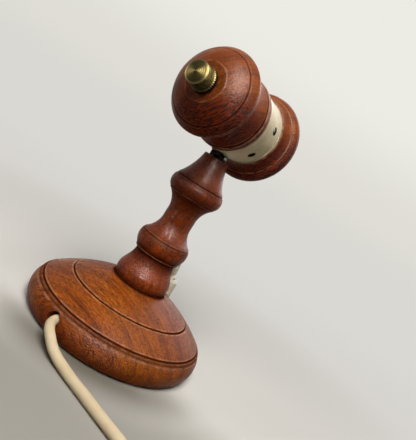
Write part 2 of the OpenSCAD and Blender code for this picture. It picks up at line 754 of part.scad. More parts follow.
// Places a child at the end of the coil, X along the cord
module at_plug() {
    translate(coil_tip) rotate(atan2(coil_dir[1], coil_dir[0])) children();
}
module plug_body() {
    grip = 5;
    grip_l = 6;
    half = plug_w / 2;
    wide_l = plug_l - 8;
    color(ivory) at_plug() translate([0, 0, -plug_h / 2]) linear_extrude(plug_h)
        polygon(concat([[0, -grip], [grip_l, -grip]],
            bow([grip_l + 0.2, -grip], [wide_l, -half], -2.2, 6), [[plug_l, -half], [plug_l, half]],
            bow([wide_l, half], [grip_l + 0.2, grip], -2.2, 6), [[grip_l, grip], [0, grip]]));
}
module plug_pins() {
    color(steel) at_plug() for (y = [-1, 1]) translate([plug_l, y * pin_pitch / 2, 0])
        rotate([0, 90, 0]) cylinder(h = pin_len, r = 2);
}

base();
base_felt();
ballast_plate();
plate_screws();
tube_nut();
tube_washer();
threaded_tube();
column();
cord_clamp();
clamp_screws();
inner_leads();
switch_body();
switch_bush();
switch_collar();
switch_lever();
lever_pin();
friction_washer();
snap_ring();
fork();
hinge_pin();
tongue();
tongue_nut();
lamp_can();
can_screws();
rear_dome();
front_ring();
nipple();
finial();
holder_cap();
holder_insert();
holder_skirt();
holder_contact();
bulb_cap();
bulb_glass();
cord();
cord_coil();
coil_tie();
plug_body();
plug_pins();
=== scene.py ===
import json
import math
import bpy
import numpy as np
from mathutils import Matrix, Vector


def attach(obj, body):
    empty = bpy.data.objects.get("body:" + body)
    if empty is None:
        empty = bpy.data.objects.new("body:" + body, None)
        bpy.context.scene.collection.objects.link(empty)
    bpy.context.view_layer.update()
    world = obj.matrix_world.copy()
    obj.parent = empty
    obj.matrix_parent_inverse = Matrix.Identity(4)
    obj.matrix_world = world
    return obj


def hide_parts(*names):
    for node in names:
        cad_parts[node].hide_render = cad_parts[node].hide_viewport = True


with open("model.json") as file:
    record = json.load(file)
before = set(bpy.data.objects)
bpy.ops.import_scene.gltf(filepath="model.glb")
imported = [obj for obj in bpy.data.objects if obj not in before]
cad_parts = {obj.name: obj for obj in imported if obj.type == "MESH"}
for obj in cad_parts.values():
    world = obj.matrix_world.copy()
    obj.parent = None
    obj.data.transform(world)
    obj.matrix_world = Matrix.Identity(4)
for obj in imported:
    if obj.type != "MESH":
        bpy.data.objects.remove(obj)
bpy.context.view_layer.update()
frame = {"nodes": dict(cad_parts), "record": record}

nodes = frame["nodes"]
scene = bpy.context.scene
scene.view_settings.view_transform = "Standard"
mm = 0.001
tiny = 1e-6  # lengths below this, in mm, count as none
print("frame:", len(nodes), "nodes")

# the viewing angle: place in mm, image axes in the lamp's frame, focal length in pixels
cameraSet = {
    "place": (-223.9, -124.5, 107.5),
    "right": (0.41743, -0.73621, 0.5328),
    "up": (-0.16035, 0.51751, 0.8406),
    "focal": 470,
    "longSide": 440,
    "sensor": 36,
    "clip": (0.01, 20),
}


def makeCamera(c):
    data = bpy.data.cameras.new("camera")
    data.sensor_width = c["sensor"]
    data.lens = c["sensor"] * c["focal"] / c["longSide"]
    data.clip_start, data.clip_end = c["clip"]
    cam = bpy.data.objects.new("camera", data)
    right, up = Vector(c["right"]).normalized(), Vector(c["up"]).normalized()
    turn = Matrix((right, up, right.cross(up))).transposed().to_4x4()
    cam.matrix_world = Matrix.Translation(Vector(c["place"]) * mm) @ turn
    scene.collection.objects.link(cam)
    scene.camera = cam


makeCamera(cameraSet)
print("camera placed")

# cream flex: out of the hole in the rim, down to the table, then two layers of turns and the plug
cordSet = {
    "diameter": 4.8,
    "length": 1.75,
    "route": [(-24, 0, 8.8), (-34, 0, 8.8), (-44, 0, 8.8), (-48, -0.1, 8.8), (-51.4, -0.8, 8.6),
              (-54.4, -2.5, 8.2), (-56.8, -5.4, 7.4), (-58.5, -9.4, 6.1), (-59.9, -14, 4.5),
              (-60.7, -19.2, 3.3), (-61.3, -24.6, 2.7), (-62.2, -31.2, 2.5), (-63.1, -39, 2.5),
              (-64.1, -46.4, 2.5), (-65, -53.5, 2.5), (-65.8, -60.4, 2.5), (-66.6, -68, 2.5),
              (-67.5, -78, 2.5), (-68.3, -90, 2.5), (-69, -103, 2.5), (-69.4, -115, 3),
              (-69.5, -126.2, 3.2), (-69.5, -134.2, 3.2)],
    "coilCentre": (-29, -139),
    "coilRadius": 40.5,
    "coilPitch": 6,
    "coilTurns": 4.375,
    "coilHeight": 3.2,
    "coilDip": 0.5,
    "coilStep": 15,
    "tail": 26,
    "steps": 4,
    "sides": 16,
    "crease": 50,
}


# a place on the coil, by the angle wound so far: inwards, half a turn to climb, then outwards on top
def coilPoint(c, a):
    span = 360 * c["coilTurns"]
    inner = c["coilRadius"] - c["coilPitch"] * c["coilTurns"]
    climb = min(1, max(0, (a - span) / 180))
    if a < span:
        r = c["coilRadius"] - c["coilPitch"] * a / 360
    elif a < span + 180:
        r = inner - c["coilDip"] * math.sin(math.radians(a - span))
    else:
        r = inner + c["coilPitch"] * (a - span - 180) / 360
    z = c["coilHeight"] + c["coilPitch"] * (1 - math.cos(math.pi * climb)) / 2
    t = math.radians(a)
    return (c["coilCentre"][0] - r * math.cos(t), c["coilCentre"][1] - r * math.sin(t), z)


def cordPoints(c):
    last = 2 * 360 * c["coilTurns"] + 180
    turns = [coilPoint(c, a) for a in np.arange(0, last + 0.1, c["coilStep"])]
    t, grow = math.radians(last), c["coilPitch"] / (2 * math.pi)
    way = Vector((c["coilRadius"] * math.sin(t) - grow * math.cos(t),
                  -c["coilRadius"] * math.cos(t) - grow * math.sin(t), 0)).normalized()
    return [Vector(p) for p in c["route"] + turns] + [Vector(turns[-1]) + way * c["tail"]]


# the same points joined by smooth curves, a few steps to each
def cordLine(c):
    points = cordPoints(c)
    ways = [(q - p).normalized() for p, q in zip(points[:1] + points[:-1], points[1:] + points[-1:])]
    line = []
    for p, q, m, n in zip(points, points[1:], ways, ways[1:]):
        span = (q - p).length
        for t in np.arange(c["steps"]) / c["steps"]:
            line.append(p * (2 * t**3 - 3 * t**2 + 1) + m * span * (t**3 - 2 * t**2 + t)
                        + q * (3 * t**2 - 2 * t**3) + n * span * (t**3 - t**2))
    return line + [points[-1]]


def linkMesh(name, verts, faces):
    mesh = bpy.data.meshes.new(name)
    mesh.from_pydata([tuple(v) for v in verts], [], faces)
    mesh.update()
    piece = bpy.data.objects.new(name, mesh)
    scene.collection.objects.link(piece)
    return piece


# a round tube along the line, with closed ends
def makeCord(c, line):
    sides, verts, faces = c["sides"], [], []
    side = Vector((0, 1, 0))
    for before, here, after in zip(line[:1] + line[:-1], line, line[1:] + line[-1:]):
        way = (after - before).normalized()
        side = (side - way * side.dot(way)).normalized()
        up = way.cross(side)
        for a in np.arange(sides) * 2 * math.pi / sides:
            verts.append((here + (side * math.cos(a) + up * math.sin(a)) * c["diameter"] / 2) * mm)
    for ring in range(0, len(verts) - sides, sides):
        for k in range(sides):
            n = (k + 1) % sides
            faces.append((ring + k, ring + n, ring + sides + n, ring + sides + k))
    faces += [list(range(sides))[::-1], list(range(len(verts) - sides, len(verts)))]
    piece = linkMesh("cord_flex", verts, faces)
    piece.data.shade_smooth()
    piece.data.set_sharp_from_angle(angle=math.radians(c["crease"]))
    return piece


flexLine = cordLine(cordSet)
cordFlex = makeCord(cordSet, flexLine)
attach(cordFlex, "stand")
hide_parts("cord", "cord_coil")
print("cord laid")


# a colour written as sRGB hex, turned to linear
def colour(text):
    parts = [int(text[i:i + 2], 16) / 255 for i in (1, 3, 5)]
    return tuple(p / 12.92 if p <= 0.04045 else ((p + 0.055) / 1.055) ** 2.4 for p in parts) + (1,)


# adds a node with its settings, values and links; a node given as a value is linked from its first live
# output and a text is a colour. Inputs go by name or number: a colour mix has its amount at 0 and its
# colours at 6 and 7, a map range its value at 0, its ends at 1 and 2, what they become at 3 and 4
def add(tree, kind, values=None, **settings):
    node = tree.nodes.new("ShaderNode" + kind)
    for key, value in settings.items():
        setattr(node, key, value)
    for key, value in (values or {}).items():
        if isinstance(value, bpy.types.Node):
            value = next(socket for socket in value.outputs if socket.enabled)
        if isinstance(value, bpy.types.NodeSocket):
            tree.links.new(value, node.inputs[key])
        else:
            node.inputs[key].default_value = colour(value) if isinstance(value, str) else value
    return node


def newMaterial(name):
    material = bpy.data.materials.new(name)
    material.use_nodes = True
    material.node_tree.nodes.clear()
    return material, material.node_tree


# place on the piece in mm, measured along three axes
def millimetres(tree, axes=((1, 0, 0), (0, 1, 0), (0, 0, 1))):
    place = add(tree, "TexCoord").outputs["Object"]
    along = [add(tree, "VectorMath", {0: place, 1: tuple(v / mm for v in axis)}, operation="DOT_PRODUCT")
             for axis in axes]
    return add(tree, "CombineXYZ", dict(enumerate(along)))


# wear with painted highlights, dirt with painted shade, and bare wood, which a turned mesh holds at each
# point
def pointMarks(tree, *keys):
    return [add(tree, "Attribute", attribute_name=key).outputs["Fac"] for key in keys]


# a mottled pattern whose patches are so many mm along each axis; most of it lies between the two ends
noiseEnds = {1: 0.3, 2: 0.7}


def mottle(tree, place, size, detail=2.0, rough=0.5):
    fit = add(tree, "VectorMath", {0: place, 1: tuple(1 / s for s in size)}, operation="MULTIPLY")
    return add(tree, "TexNoise", {"Vector": fit, "Scale": 1.0, "Detail": detail, "Roughness": rough})


# lays coats of colour over one another, each by its amount
def layered(tree, tone, *coats):
    for amount, over in coats:
        tone = add(tree, "Mix", {0: amount, 6: tone, 7: over}, data_type="RGBA")
    return tone


# mahogany, turned, stained red-brown and lacquered: dark open pores as dashes along the grain,
# soft growth bands, a satin coat, pale where edges are rubbed and where painted highlights lie on edges,
# and dark where dirt and painted shade sit in grooves and corners
grainSet = {
    "pore": "#1d0703", "poreEdge": 0.1, "rubbedAndHighlight": "#dca580", "rubAndHighlightPatch": (3, 3, 3),
    "bare": ("#47200b", "#8a4c1a"), "bareGrain": (0.9, 0.9, 1.6),
    "bandWidth": 10.0, "broad": (20.0, 22.0, 60.0), "bend": (30, 30, 90), "bendBy": 3,
    "fine": (0.5, 0.5, 1.5), "fineShare": 0.55, "denseShare": 0.95, "sparsePores": 0.12,
    "dirtAndShadeShare": 0.9, "dirtAndShadeDulls": 0.4, "poreDulls": 0.25, "sheen": (0.06, -0.05),
    "relief": 0.14, "streakRelief": 0.4, "reliefShare": 0.7,
}
# axes: across the growth layers, along them, along the grain; then the tones and how much of each mark;
# pores are 0.2 mm across and are drawn coarser to show
woodSet = {
    "column": {"axes": ((1, 0, 0), (0, 1, 0), (0, 0, 1)), "seed": (13, 40, 5),
               "tones": ("#b04d0c", "#863306"), "dark": "#431206", "grimeAndShade": "#2c0c05",
               "bands": 0.15, "streaks": 0.45, "streak": (0.8, 8.0, 26.0),
               "pores": 0.6, "poreFrom": 0.51, "poreSize": (0.4, 0.4, 3.8), "rough": 0.21, "gloss": 0.1},
    "base": {"axes": ((1, 0, 0), (0, 0, 1), (0, 1, 0)), "seed": (31, 7, 60),
             "tones": ("#c0671b", "#96410c"), "dark": "#4a1806", "grimeAndShade": "#3c140a",
             "bands": 0.35, "streaks": 0.6, "streak": (0.7, 3.6, 34.0),
             "pores": 0.65, "poreFrom": 0.52, "poreSize": (0.4, 0.4, 3.8), "rough": 0.28, "gloss": 0.06},
    "head": {"axes": ((0, 0.81, 0.58), (1, 0, 0), (0, -0.58, 0.81)), "seed": (2, 90, 14),
             "tones": ("#a4551d", "#7e3911"), "dark": "#340c05", "grimeAndShade": "#2c0c05",
             "bands": 0.3, "streaks": 0.4, "streak": (0.8, 8.0, 26.0),
             "pores": 0.95, "poreFrom": 0.45, "poreSize": (0.36, 0.5, 9.0), "rough": 0.28, "gloss": 0.06,
             "zone": (112, 103), "zoneWay": (0.91, 0, 0.38), "zoneTone": "#8a2f06"},
}


def turnedMahogany(name, w, c=grainSet):
    material, tree = newMaterial("mahogany_" + name)
    wearAndHighlight, dirtAndShade, stripped = pointMarks(tree, "wearAndHighlight", "dirtAndShade", "bare")
    local = millimetres(tree, w["axes"])
    place = add(tree, "VectorMath", {0: local, 1: w["seed"]})
    sway = add(tree, "MapRange", {0: mottle(tree, place, c["bend"]), 3: -c["bendBy"], 4: c["bendBy"]})
    bent = add(tree, "VectorMath", {0: place, 1: add(tree, "CombineXYZ", {0: sway})})
    repeat = 0.314 / c["bandWidth"]  # a wave of scale 1 repeats every 0.314
    bands = add(tree, "TexWave", {"Vector": bent, "Scale": repeat, "Distortion": 2.2, "Detail": 2.0,
                                  "Detail Scale": 1.4}, wave_profile="SAW").outputs["Fac"]
    broad = mottle(tree, bent, c["broad"], 3, 0.6)
    streak = mottle(tree, bent, w["streak"], 4, 0.65)
    pores = mottle(tree, place, w["poreSize"], 1)
    pores = add(tree, "MapRange", {0: pores, 1: w["poreFrom"], 2: w["poreFrom"] + c["poreEdge"]})
    fine = mottle(tree, place, c["fine"], 2, 0.6)
    fine = add(tree, "MapRange", {0: fine, 1: 0.52, 2: 0.34, 4: c["fineShare"]})
    toned = add(tree, "MapRange", {0: broad, 1: 0.32, 2: 0.68})
    banded = add(tree, "MapRange", {0: bands, 1: 0.55, 4: w["bands"]})
    streaked = add(tree, "MapRange", {0: streak, 1: 0.58, 2: 0.36, 4: w["streaks"]})
    base = layered(tree, w["tones"][1], (toned, w["tones"][0]), (banded, w["dark"]), (streaked, w["dark"]))
    if "zone" in w:  # a stripe of the block where the pores are long and close
        across = add(tree, "VectorMath", {0: local, 1: w["zoneWay"]}, operation="DOT_PRODUCT")
        dense = add(tree, "MapRange", {0: across, 1: w["zone"][0], 2: w["zone"][1]},
                    interpolation_type="SMOOTHSTEP")
        share = add(tree, "Math", {0: dense, 1: c["denseShare"]}, operation="MULTIPLY")
        base = layered(tree, base, (share, w["zoneTone"]))
        kept = add(tree, "MapRange", {0: dense, 3: c["sparsePores"]})
        pores = add(tree, "Math", {0: pores, 1: kept}, operation="MULTIPLY")
    speckled = add(tree, "MapRange", {0: mottle(tree, place, c["bareGrain"], 2, 0.6), 1: 0.35, 2: 0.65})
    bare = layered(tree, c["bare"][0], (speckled, c["bare"][1]))
    opened = add(tree, "MapRange", {0: pores, 4: w["pores"]})
    patchy = add(tree, "MapRange", {0: mottle(tree, place, c["rubAndHighlightPatch"]), 1: 0.3, 2: 0.6})
    wornAndHighlight = add(tree, "Math", {0: wearAndHighlight, 1: patchy}, operation="MULTIPLY")
    dirtyAndShaded = add(tree, "Math", {0: dirtAndShade, 1: c["dirtAndShadeShare"]}, operation="MULTIPLY")
    base = layered(tree, base, (fine, w["dark"]), (stripped, bare), (opened, c["pore"]),
                   (wornAndHighlight, c["rubbedAndHighlight"]), (dirtyAndShaded, w["grimeAndShade"]))
    rough = add(tree, "MapRange", {0: broad, **noiseEnds, 3: w["rough"] + c["sheen"][0],
                                   4: w["rough"] + c["sheen"][1]})
    for dull, share in ((pores, c["poreDulls"]), (dirtAndShade, c["dirtAndShadeDulls"])):
        rough = add(tree, "Math", {0: dull, 1: share, 2: rough}, operation="MULTIPLY_ADD")
    gloss = add(tree, "MapRange", {0: dirtAndShade, 2: 0.8, 3: w["gloss"], 4: 0})
    raised = add(tree, "Math", {0: streak, 1: c["streakRelief"]}, operation="MULTIPLY")
    sunk = add(tree, "Math", {0: pores, 1: fine})
    relief = add(tree, "Math", {0: raised, 1: sunk}, operation="SUBTRACT")
    bump = add(tree, "Bump", {"Height": relief, "Distance": c["relief"] * mm, "Strength": c["reliefShare"]})
    wood = add(tree, "BsdfPrincipled", {"Base Color": base, "Roughness": rough, "Specular IOR Level": gloss,
                                        "Normal": bump})
    add(tree, "OutputMaterial", {"Surface": wood})
    return material


columnWood, baseWood, headWood = (turnedMahogany(name, w) for name, w in woodSet.items())
print("wood made")

# stove-enamelled steel, sprayed cream and yellowed: a faint orange peel, brown stains and specks, and dark
# dirt and painted shade at edges and on hole walls
enamelSet = {
    "cream": "#e6dabb", "stain": "#bfac84", "stainShare": 0.55, "stainSize": (9, 9, 9),
    "speck": "#6d5a3c", "speckShare": 0.35, "speckSize": (1.4, 1.4, 1.4),
    "grimeAndShade": "#2a2216", "dirtAndShadeShare": 0.9, "peelSize": (0.8, 0.8, 0.8), "peelDepth": 0.03, "peelShare": 0.4,
    "rough": (0.34, 0.5), "gloss": 0.09,
}


def yellowedEnamel(name, c=enamelSet):
    material, tree = newMaterial(name)
    dirtAndShade, = pointMarks(tree, "dirtAndShade")
    place = millimetres(tree)
    stain = mottle(tree, place, c["stainSize"], 4, 0.6)
    stained = add(tree, "MapRange", {0: stain, 1: 0.4, 2: 0.72, 4: c["stainShare"]})
    speck = mottle(tree, place, c["speckSize"], 1)
    specked = add(tree, "MapRange", {0: speck, 1: 0.66, 2: 0.74, 4: c["speckShare"]})
    dirtyAndShaded = add(tree, "Math", {0: dirtAndShade, 1: c["dirtAndShadeShare"]}, operation="MULTIPLY")
    base = layered(tree, c["cream"], (stained, c["stain"]), (specked, c["speck"]), (dirtyAndShaded, c["grimeAndShade"]))
    rough = add(tree, "MapRange", {0: stain, **noiseEnds, 3: c["rough"][0], 4: c["rough"][1]})
    peel = mottle(tree, place, c["peelSize"], 1)
    bump = add(tree, "Bump", {"Height": peel, "Distance": c["peelDepth"] * mm, "Strength": c["peelShare"]})
    paint = add(tree, "BsdfPrincipled", {"Base Color": base, "Roughness": rough, "Normal": bump,
                                         "Specular IOR Level": c["gloss"]})
    add(tree, "OutputMaterial", {"Surface": paint})
    return material


# brass, turned and left unlacquered: olive tarnish, rubbed bright on edges, with painted highlights on the
# knurl's crests and painted shade between its teeth; the fine rings left by the lathe about its axis show
# as bands and draw the highlight out into a wedge
brassSet = {
    "tones": ("#302a15", "#4d4529"), "rubbedAndHighlight": "#948359", "rubAndHighlightShare": 0.8, "grimeAndShade": "#1c1407",
    "dirtAndShadeShare": 0.85, "cloud": (4, 4, 4), "ringGap": 0.9, "ringWaver": 0.12, "ringShare": 0.35,
    "ringDepth": 0.05, "rough": (0.55, 0.45), "drawn": 0.8,
}


def tarnishedBrass(name, centre, axis, c=brassSet):
    material, tree = newMaterial(name)
    wearAndHighlight, dirtAndShade = pointMarks(tree, "wearAndHighlight", "dirtAndShade")
    place = millimetres(tree)
    cloud = mottle(tree, place, c["cloud"], 3, 0.6)
    arm = add(tree, "VectorMath", {0: place, 1: centre}, operation="SUBTRACT")
    along = add(tree, "VectorMath", {0: arm, 1: axis}, operation="PROJECT")
    arm = add(tree, "VectorMath", {0: arm, 1: along}, operation="SUBTRACT")
    off = add(tree, "VectorMath", {0: arm}, operation="LENGTH")
    waver = add(tree, "MapRange", {0: cloud, **noiseEnds, 3: -c["ringWaver"], 4: c["ringWaver"]})
    phase = add(tree, "Math", {0: add(tree, "Math", {0: off, 1: waver}), 1: 2 * math.pi / c["ringGap"]},
                operation="MULTIPLY")
    rings = add(tree, "Math", {0: phase}, operation="SINE")
    toned = add(tree, "MapRange", {0: cloud, **noiseEnds})
    ringed = add(tree, "MapRange", {0: rings, 1: -0.2, 2: -1, 4: c["ringShare"]})
    wornAndHighlight = add(tree, "MapRange", {0: wearAndHighlight, 4: c["rubAndHighlightShare"]})
    dirtyAndShaded = add(tree, "MapRange", {0: dirtAndShade, 4: c["dirtAndShadeShare"]})
    base = layered(tree, c["tones"][0], (toned, c["tones"][1]), (ringed, c["grimeAndShade"]), (wornAndHighlight, c["rubbedAndHighlight"]),
                   (dirtyAndShaded, c["grimeAndShade"]))
    rough = add(tree, "MapRange", {0: cloud, **noiseEnds, 3: c["rough"][0], 4: c["rough"][1]})
    outward = add(tree, "VectorTransform", {0: arm}, convert_from="OBJECT", convert_to="WORLD")
    bump = add(tree, "Bump", {"Height": rings, "Distance": c["ringDepth"] * mm, "Strength": 0.5})
    metal = add(tree, "BsdfPrincipled", {"Base Color": base, "Metallic": 1.0, "Roughness": rough,
                                         "Normal": bump, "Anisotropic": c["drawn"], "Tangent": outward})
    add(tree, "OutputMaterial", {"Surface": metal})
    return material


# plain metals, mouldings, cloth and glaze: two tones, a grain and its depth in mm, a range of roughness,
# and what else the surface has
finishSet = {
    # zinc-plated steel, drawn: grey, with fine lines along it
    "zincSteel": {"tones": ("#6c6b64", "#96958c"), "grain": (0.3, 0.3, 4), "relief": 0.02,
                  "rough": (0.26, 0.42), "also": {"Metallic": 1.0}},
    # steel, blackened in hot oil: near black, with a dull metal shine
    "blackenedSteel": {"tones": ("#0d0c0b", "#24211e"), "grain": (1.2, 1.2, 1.2), "relief": 0.03,
                       "rough": (0.3, 0.5), "also": {"Metallic": 0.6}},
    # phenolic resin, pressed: brown-black and even
    "phenolicMoulding": {"tones": ("#120f0d", "#231d19"), "grain": (2, 2, 2), "relief": 0.03,
                         "rough": (0.35, 0.5)},
    # urea resin, pressed: cream, with a hard smooth shine
    "creamUrea": {"tones": ("#eee6cb", "#f6f1de"), "grain": (5, 5, 5), "relief": 0.02,
                  "rough": (0.25, 0.36)},
    # vulcanised fibre, stamped: brown and dull
    "vulcanFibre": {"tones": ("#4e3218", "#7a5330"), "grain": (0.6, 0.6, 0.6), "relief": 0.04,
                    "rough": (0.6, 0.75)},
    # wool felt, pressed: green, with no shine and a woolly surface
    "woolFelt": {"tones": ("#263022", "#43523a"), "grain": (0.5, 0.5, 0.5), "relief": 0.2,
                 "rough": (0.9, 1.0)},
    # porcelain, glazed: off-white and shiny
    "glazedPorcelain": {"tones": ("#ddd8cb", "#f0ece2"), "grain": (6, 6, 6), "relief": 0.02,
                        "rough": (0.1, 0.18)},
    # soft PVC, extruded: cream, and light sinks in a little
    "softPvc": {"tones": ("#dcc9a5", "#e6d5b5"), "grain": (12, 12, 12), "relief": 0.03,
                "rough": (0.36, 0.48),
                "also": {"Subsurface Weight": 0.12, "Subsurface Radius": (0.002, 0.0015, 0.001)}},
    # spring brass, stamped and bare: yellow, a little dulled
    "springBrass": {"tones": ("#7d6a38", "#b79c5c"), "grain": (2, 2, 2), "relief": 0.02,
                    "rough": (0.3, 0.45), "also": {"Metallic": 1.0}},
    # glass, etched: it lets light through but no sharp picture
    "frostedGlass": {"tones": ("#e9e6da", "#f6f3e9"), "grain": (8, 8, 8), "relief": 0.02,
                     "rough": (0.22, 0.3), "also": {"Transmission Weight": 1.0}},
    # matt black: painted shade inside the can and on the bulb's sides
    "paintedShadeBlack": {"tones": ("#0c0b0a", "#191715"), "grain": (1.5, 1.5, 1.5), "relief": 0.03,
                     "rough": (0.7, 0.9), "also": {"Specular IOR Level": 0.03}},
}


def plainFinish(name, c):
    material, tree = newMaterial(name)
    grain = mottle(tree, millimetres(tree), c["grain"], 3, 0.6)
    toned = add(tree, "MapRange", {0: grain, **noiseEnds})
    rough = add(tree, "MapRange", {0: grain, **noiseEnds, 3: c["rough"][0], 4: c["rough"][1]})
    bump = add(tree, "Bump", {"Height": grain, "Distance": c["relief"] * mm, "Strength": 0.5})
    base = layered(tree, c["tones"][0], (toned, c["tones"][1]))
    values = {"Base Color": base, "Roughness": rough, "Specular IOR Level": 0.12, "Normal": bump}
    add(tree, "OutputMaterial", {"Surface": add(tree, "BsdfPrincipled", {**values, **c.get("also", {})})})
    return material


finishes = {name: plainFinish(name, c) for name, c in finishSet.items()}
enamel = yellowedEnamel("yellowed_enamel")

# what each packed slot is made of, for the nodes that keep their own mesh
slotFinish = {
    "hardwood": columnWood, "felt": finishes["woolFelt"], "steel": finishes["zincSteel"],
    "black_plastic": finishes["phenolicMoulding"], "black_metal": finishes["blackenedSteel"],
    "fibre": finishes["vulcanFibre"], "cream_plastic": finishes["creamUrea"], "cream_paint": enamel,
    "brass": finishes["springBrass"], "porcelain": finishes["glazedPorcelain"],
    "bulb_glass": finishes["frostedGlass"], "cord_plastic": finishes["softPvc"],
}
for part in frame["record"]["subparts"]:
    mesh = nodes[part["node"]].data
    mesh.materials.clear()
    mesh.materials.append(slotFinish[part["material_slot"]])
cordFlex.data.materials.append(finishes["softPvc"])
print("finishes made")


# an arc from p to q that stands so far to the right of the straight line
def bow(p, q, rise, steps):
    p, q = np.array(p, float), np.array(q, float)
    chord = q - p
    span = np.hypot(*chord)
    radius = (span * span / 4 + rise * rise) / (2 * rise)
    centre = (p + q) / 2 + np.array([chord[1], -chord[0]]) / span * (rise - radius)
    a, b = [math.atan2(*(e - centre)[::-1]) for e in (p, q)]
    b += -2 * math.pi if b - a > math.pi else 2 * math.pi if b - a < -math.pi else 0
    angles = np.linspace(a, b, steps + 1)
    return [tuple(centre + abs(radius) * np.array([math.cos(t), math.sin(t)])) for t in angles]


# breaks sharp corners of an outline with a small curve, as sandpaper does
def easeCorners(line, size, closed, straight=-0.93, mostOfSide=0.45):
    eased = []
    count = len(line)
    for i, point in enumerate(line):
        if not closed and i in (0, count - 1):
            eased.append(point)
            continue
        here, before, after = (np.array(line[k % count], float) for k in (i, i - 1, i + 1))
        a, b = before - here, after - here
        la, lb = np.hypot(*a), np.hypot(*b)
        if la < tiny or lb < tiny:
            continue
        if np.dot(a, b) / (la * lb) < straight:
            eased.append(point)
            continue
        start = here + a / la * min(size, la * mostOfSide)
        end = here + b / lb * min(size, lb * mostOfSide)
        for t in (0, 0.25, 0.5, 0.75, 1):
            eased.append(tuple((1 - t) ** 2 * start + 2 * t * (1 - t) * here + t * t * end))
    return eased


# adds points so that none are further apart than the gap
def fillIn(line, gap, closed):
    full = []
    for i in range(len(line) if closed else len(line) - 1):
        p, q = np.array(line[i], float), np.array(line[(i + 1) % len(line)], float)
        steps = max(1, int(math.ceil(np.hypot(*(q - p)) / gap)))
        full += [tuple(p + (q - p) * k / steps) for k in range(steps)]
    return full if closed else full + [tuple(line[-1])]


# a turned groove: the outline near the centre gets more points and is pushed in, deepest in the middle
def cutGroove(line, centre, width, depth, steps=6, margin=1.2):
    dense, moved = [], []
    for p, q in zip(line, line[1:]):
        middle = (np.array(p) + np.array(q)) / 2
        span = math.dist(p, q)
        close = math.dist(middle, centre) < span / 2 + width * margin
        dense += fillIn([p, q], width / steps if close else span + 1, False)[:-1]
    dense.append(line[-1])
    for i, point in enumerate(dense):
        here = np.array(point)
        off = np.hypot(*(here - np.array(centre)))
        if off >= width or i in (0, len(dense) - 1):
            moved.append(point)
            continue
        way = np.array(dense[i + 1]) - np.array(dense[i - 1])
        inward = np.array([-way[1], way[0]]) / max(np.hypot(*way), tiny)
        moved.append(tuple(here + inward * depth * max(0, 1 - (off / (width / 2)) ** 2)))
    return moved


# takes the kink out of an outline near a point
def soften(line, centre, reach, gap=0.3, rounds=60):
    points = np.array(fillIn(line, gap, False), float)
    near = np.hypot(*(points - np.array(centre)).T) < reach
    near[[0, -1]] = False
    for _ in range(rounds):
        middle = (np.roll(points, 1, 0) + np.roll(points, -1, 0)) / 2
        points[near] = middle[near]
    return [tuple(p) for p in points]


# age: how far along the outline a corner is judged in mm, the turn in radians that marks it and how much,
# the part of a mark that fades (more of a wide one), and the walls of drilled holes, which lie off the
# outline and are darkened as painted shade
ageSet = {
    "reach": 0.9, "wearTurn": 0.9, "wearLess": 0.3, "wearMost": 0.4, "creaseTurn": 0.8, "creaseLess": 0.1,
    "fade": 0.34, "wallOff": 0.35, "wallShade": 0.9, "batch": 4000,
}


# how rubbed and how dark each point of an outline is: proud corners wear, inner corners darken with dirt
# and painted shade
def wearAlong(line, closed, c=ageSet):
    points = np.array(line, float)
    count = len(points)
    wearAndHighlight, dirtAndShade = np.zeros(count), np.zeros(count)
    for i in range(count):
        ends = []
        for step in (-1, 1):
            k, gone = i, 0.0
            while gone < c["reach"]:
                n = k + step
                if not closed and not 0 <= n < count:
                    break
                gone += np.hypot(*(points[n % count] - points[k % count]))
                k = n
                if abs(k - i) > count // 2:
                    break
            ends.append(points[k % count])
        a, b = points[i] - ends[0], ends[1] - points[i]
        turn = math.atan2(a[0] * b[1] - a[1] * b[0], a[0] * b[0] + a[1] * b[1])
        wearAndHighlight[i] = min(c["wearMost"], max(0, turn / c["wearTurn"] - c["wearLess"]))
        dirtAndShade[i] = min(1, max(0, -turn / c["creaseTurn"] - c["creaseLess"]))
    return wearAndHighlight, dirtAndShade


# turns an outline of (radius, height) in mm about Z, then puts it in place
def spin(name, line, place, closed, sides, wobble=None):
    angles = np.linspace(0, 2 * math.pi, sides, endpoint=False)
    verts, faces = [], []
    rows = []
    for r, z in line:
        if r < tiny:
            rows.append([len(verts)] * sides)
            verts.append(place @ Vector((0, 0, z)) * mm)
            continue
        rows.append(list(range(len(verts), len(verts) + sides)))
        for a in angles:
            reach = wobble(r, z, a) if wobble else r
            verts.append(place @ Vector((reach * math.cos(a), reach * math.sin(a), z)) * mm)
    for i in range(len(rows) if closed else len(rows) - 1):
        low, high = rows[i], rows[(i + 1) % len(rows)]
        for j in range(sides):
            k = (j + 1) % sides
            ring = [low[j], low[k], high[k], high[j]]
            ring = [v for n, v in enumerate(ring) if v not in ring[:n]]
            if len(ring) > 2:
                faces.append(ring)
    return linkMesh(name, verts, faces)


# cuts holes with closed meshes, which are then removed, and applies any other modifier
def drill(piece, *cutters):
    for cutter in cutters:
        cut = piece.modifiers.new("hole", "BOOLEAN")
        cut.operation, cut.solver, cut.object = "DIFFERENCE", "EXACT", cutter
    bpy.context.view_layer.update()
    done = bpy.data.meshes.new_from_object(piece.evaluated_get(bpy.context.evaluated_depsgraph_get()))
    piece.modifiers.clear()
    old, piece.data = piece.data, done
    done.name = piece.name
    bpy.data.meshes.remove(old)
    for cutter in cutters:
        bpy.data.objects.remove(cutter)
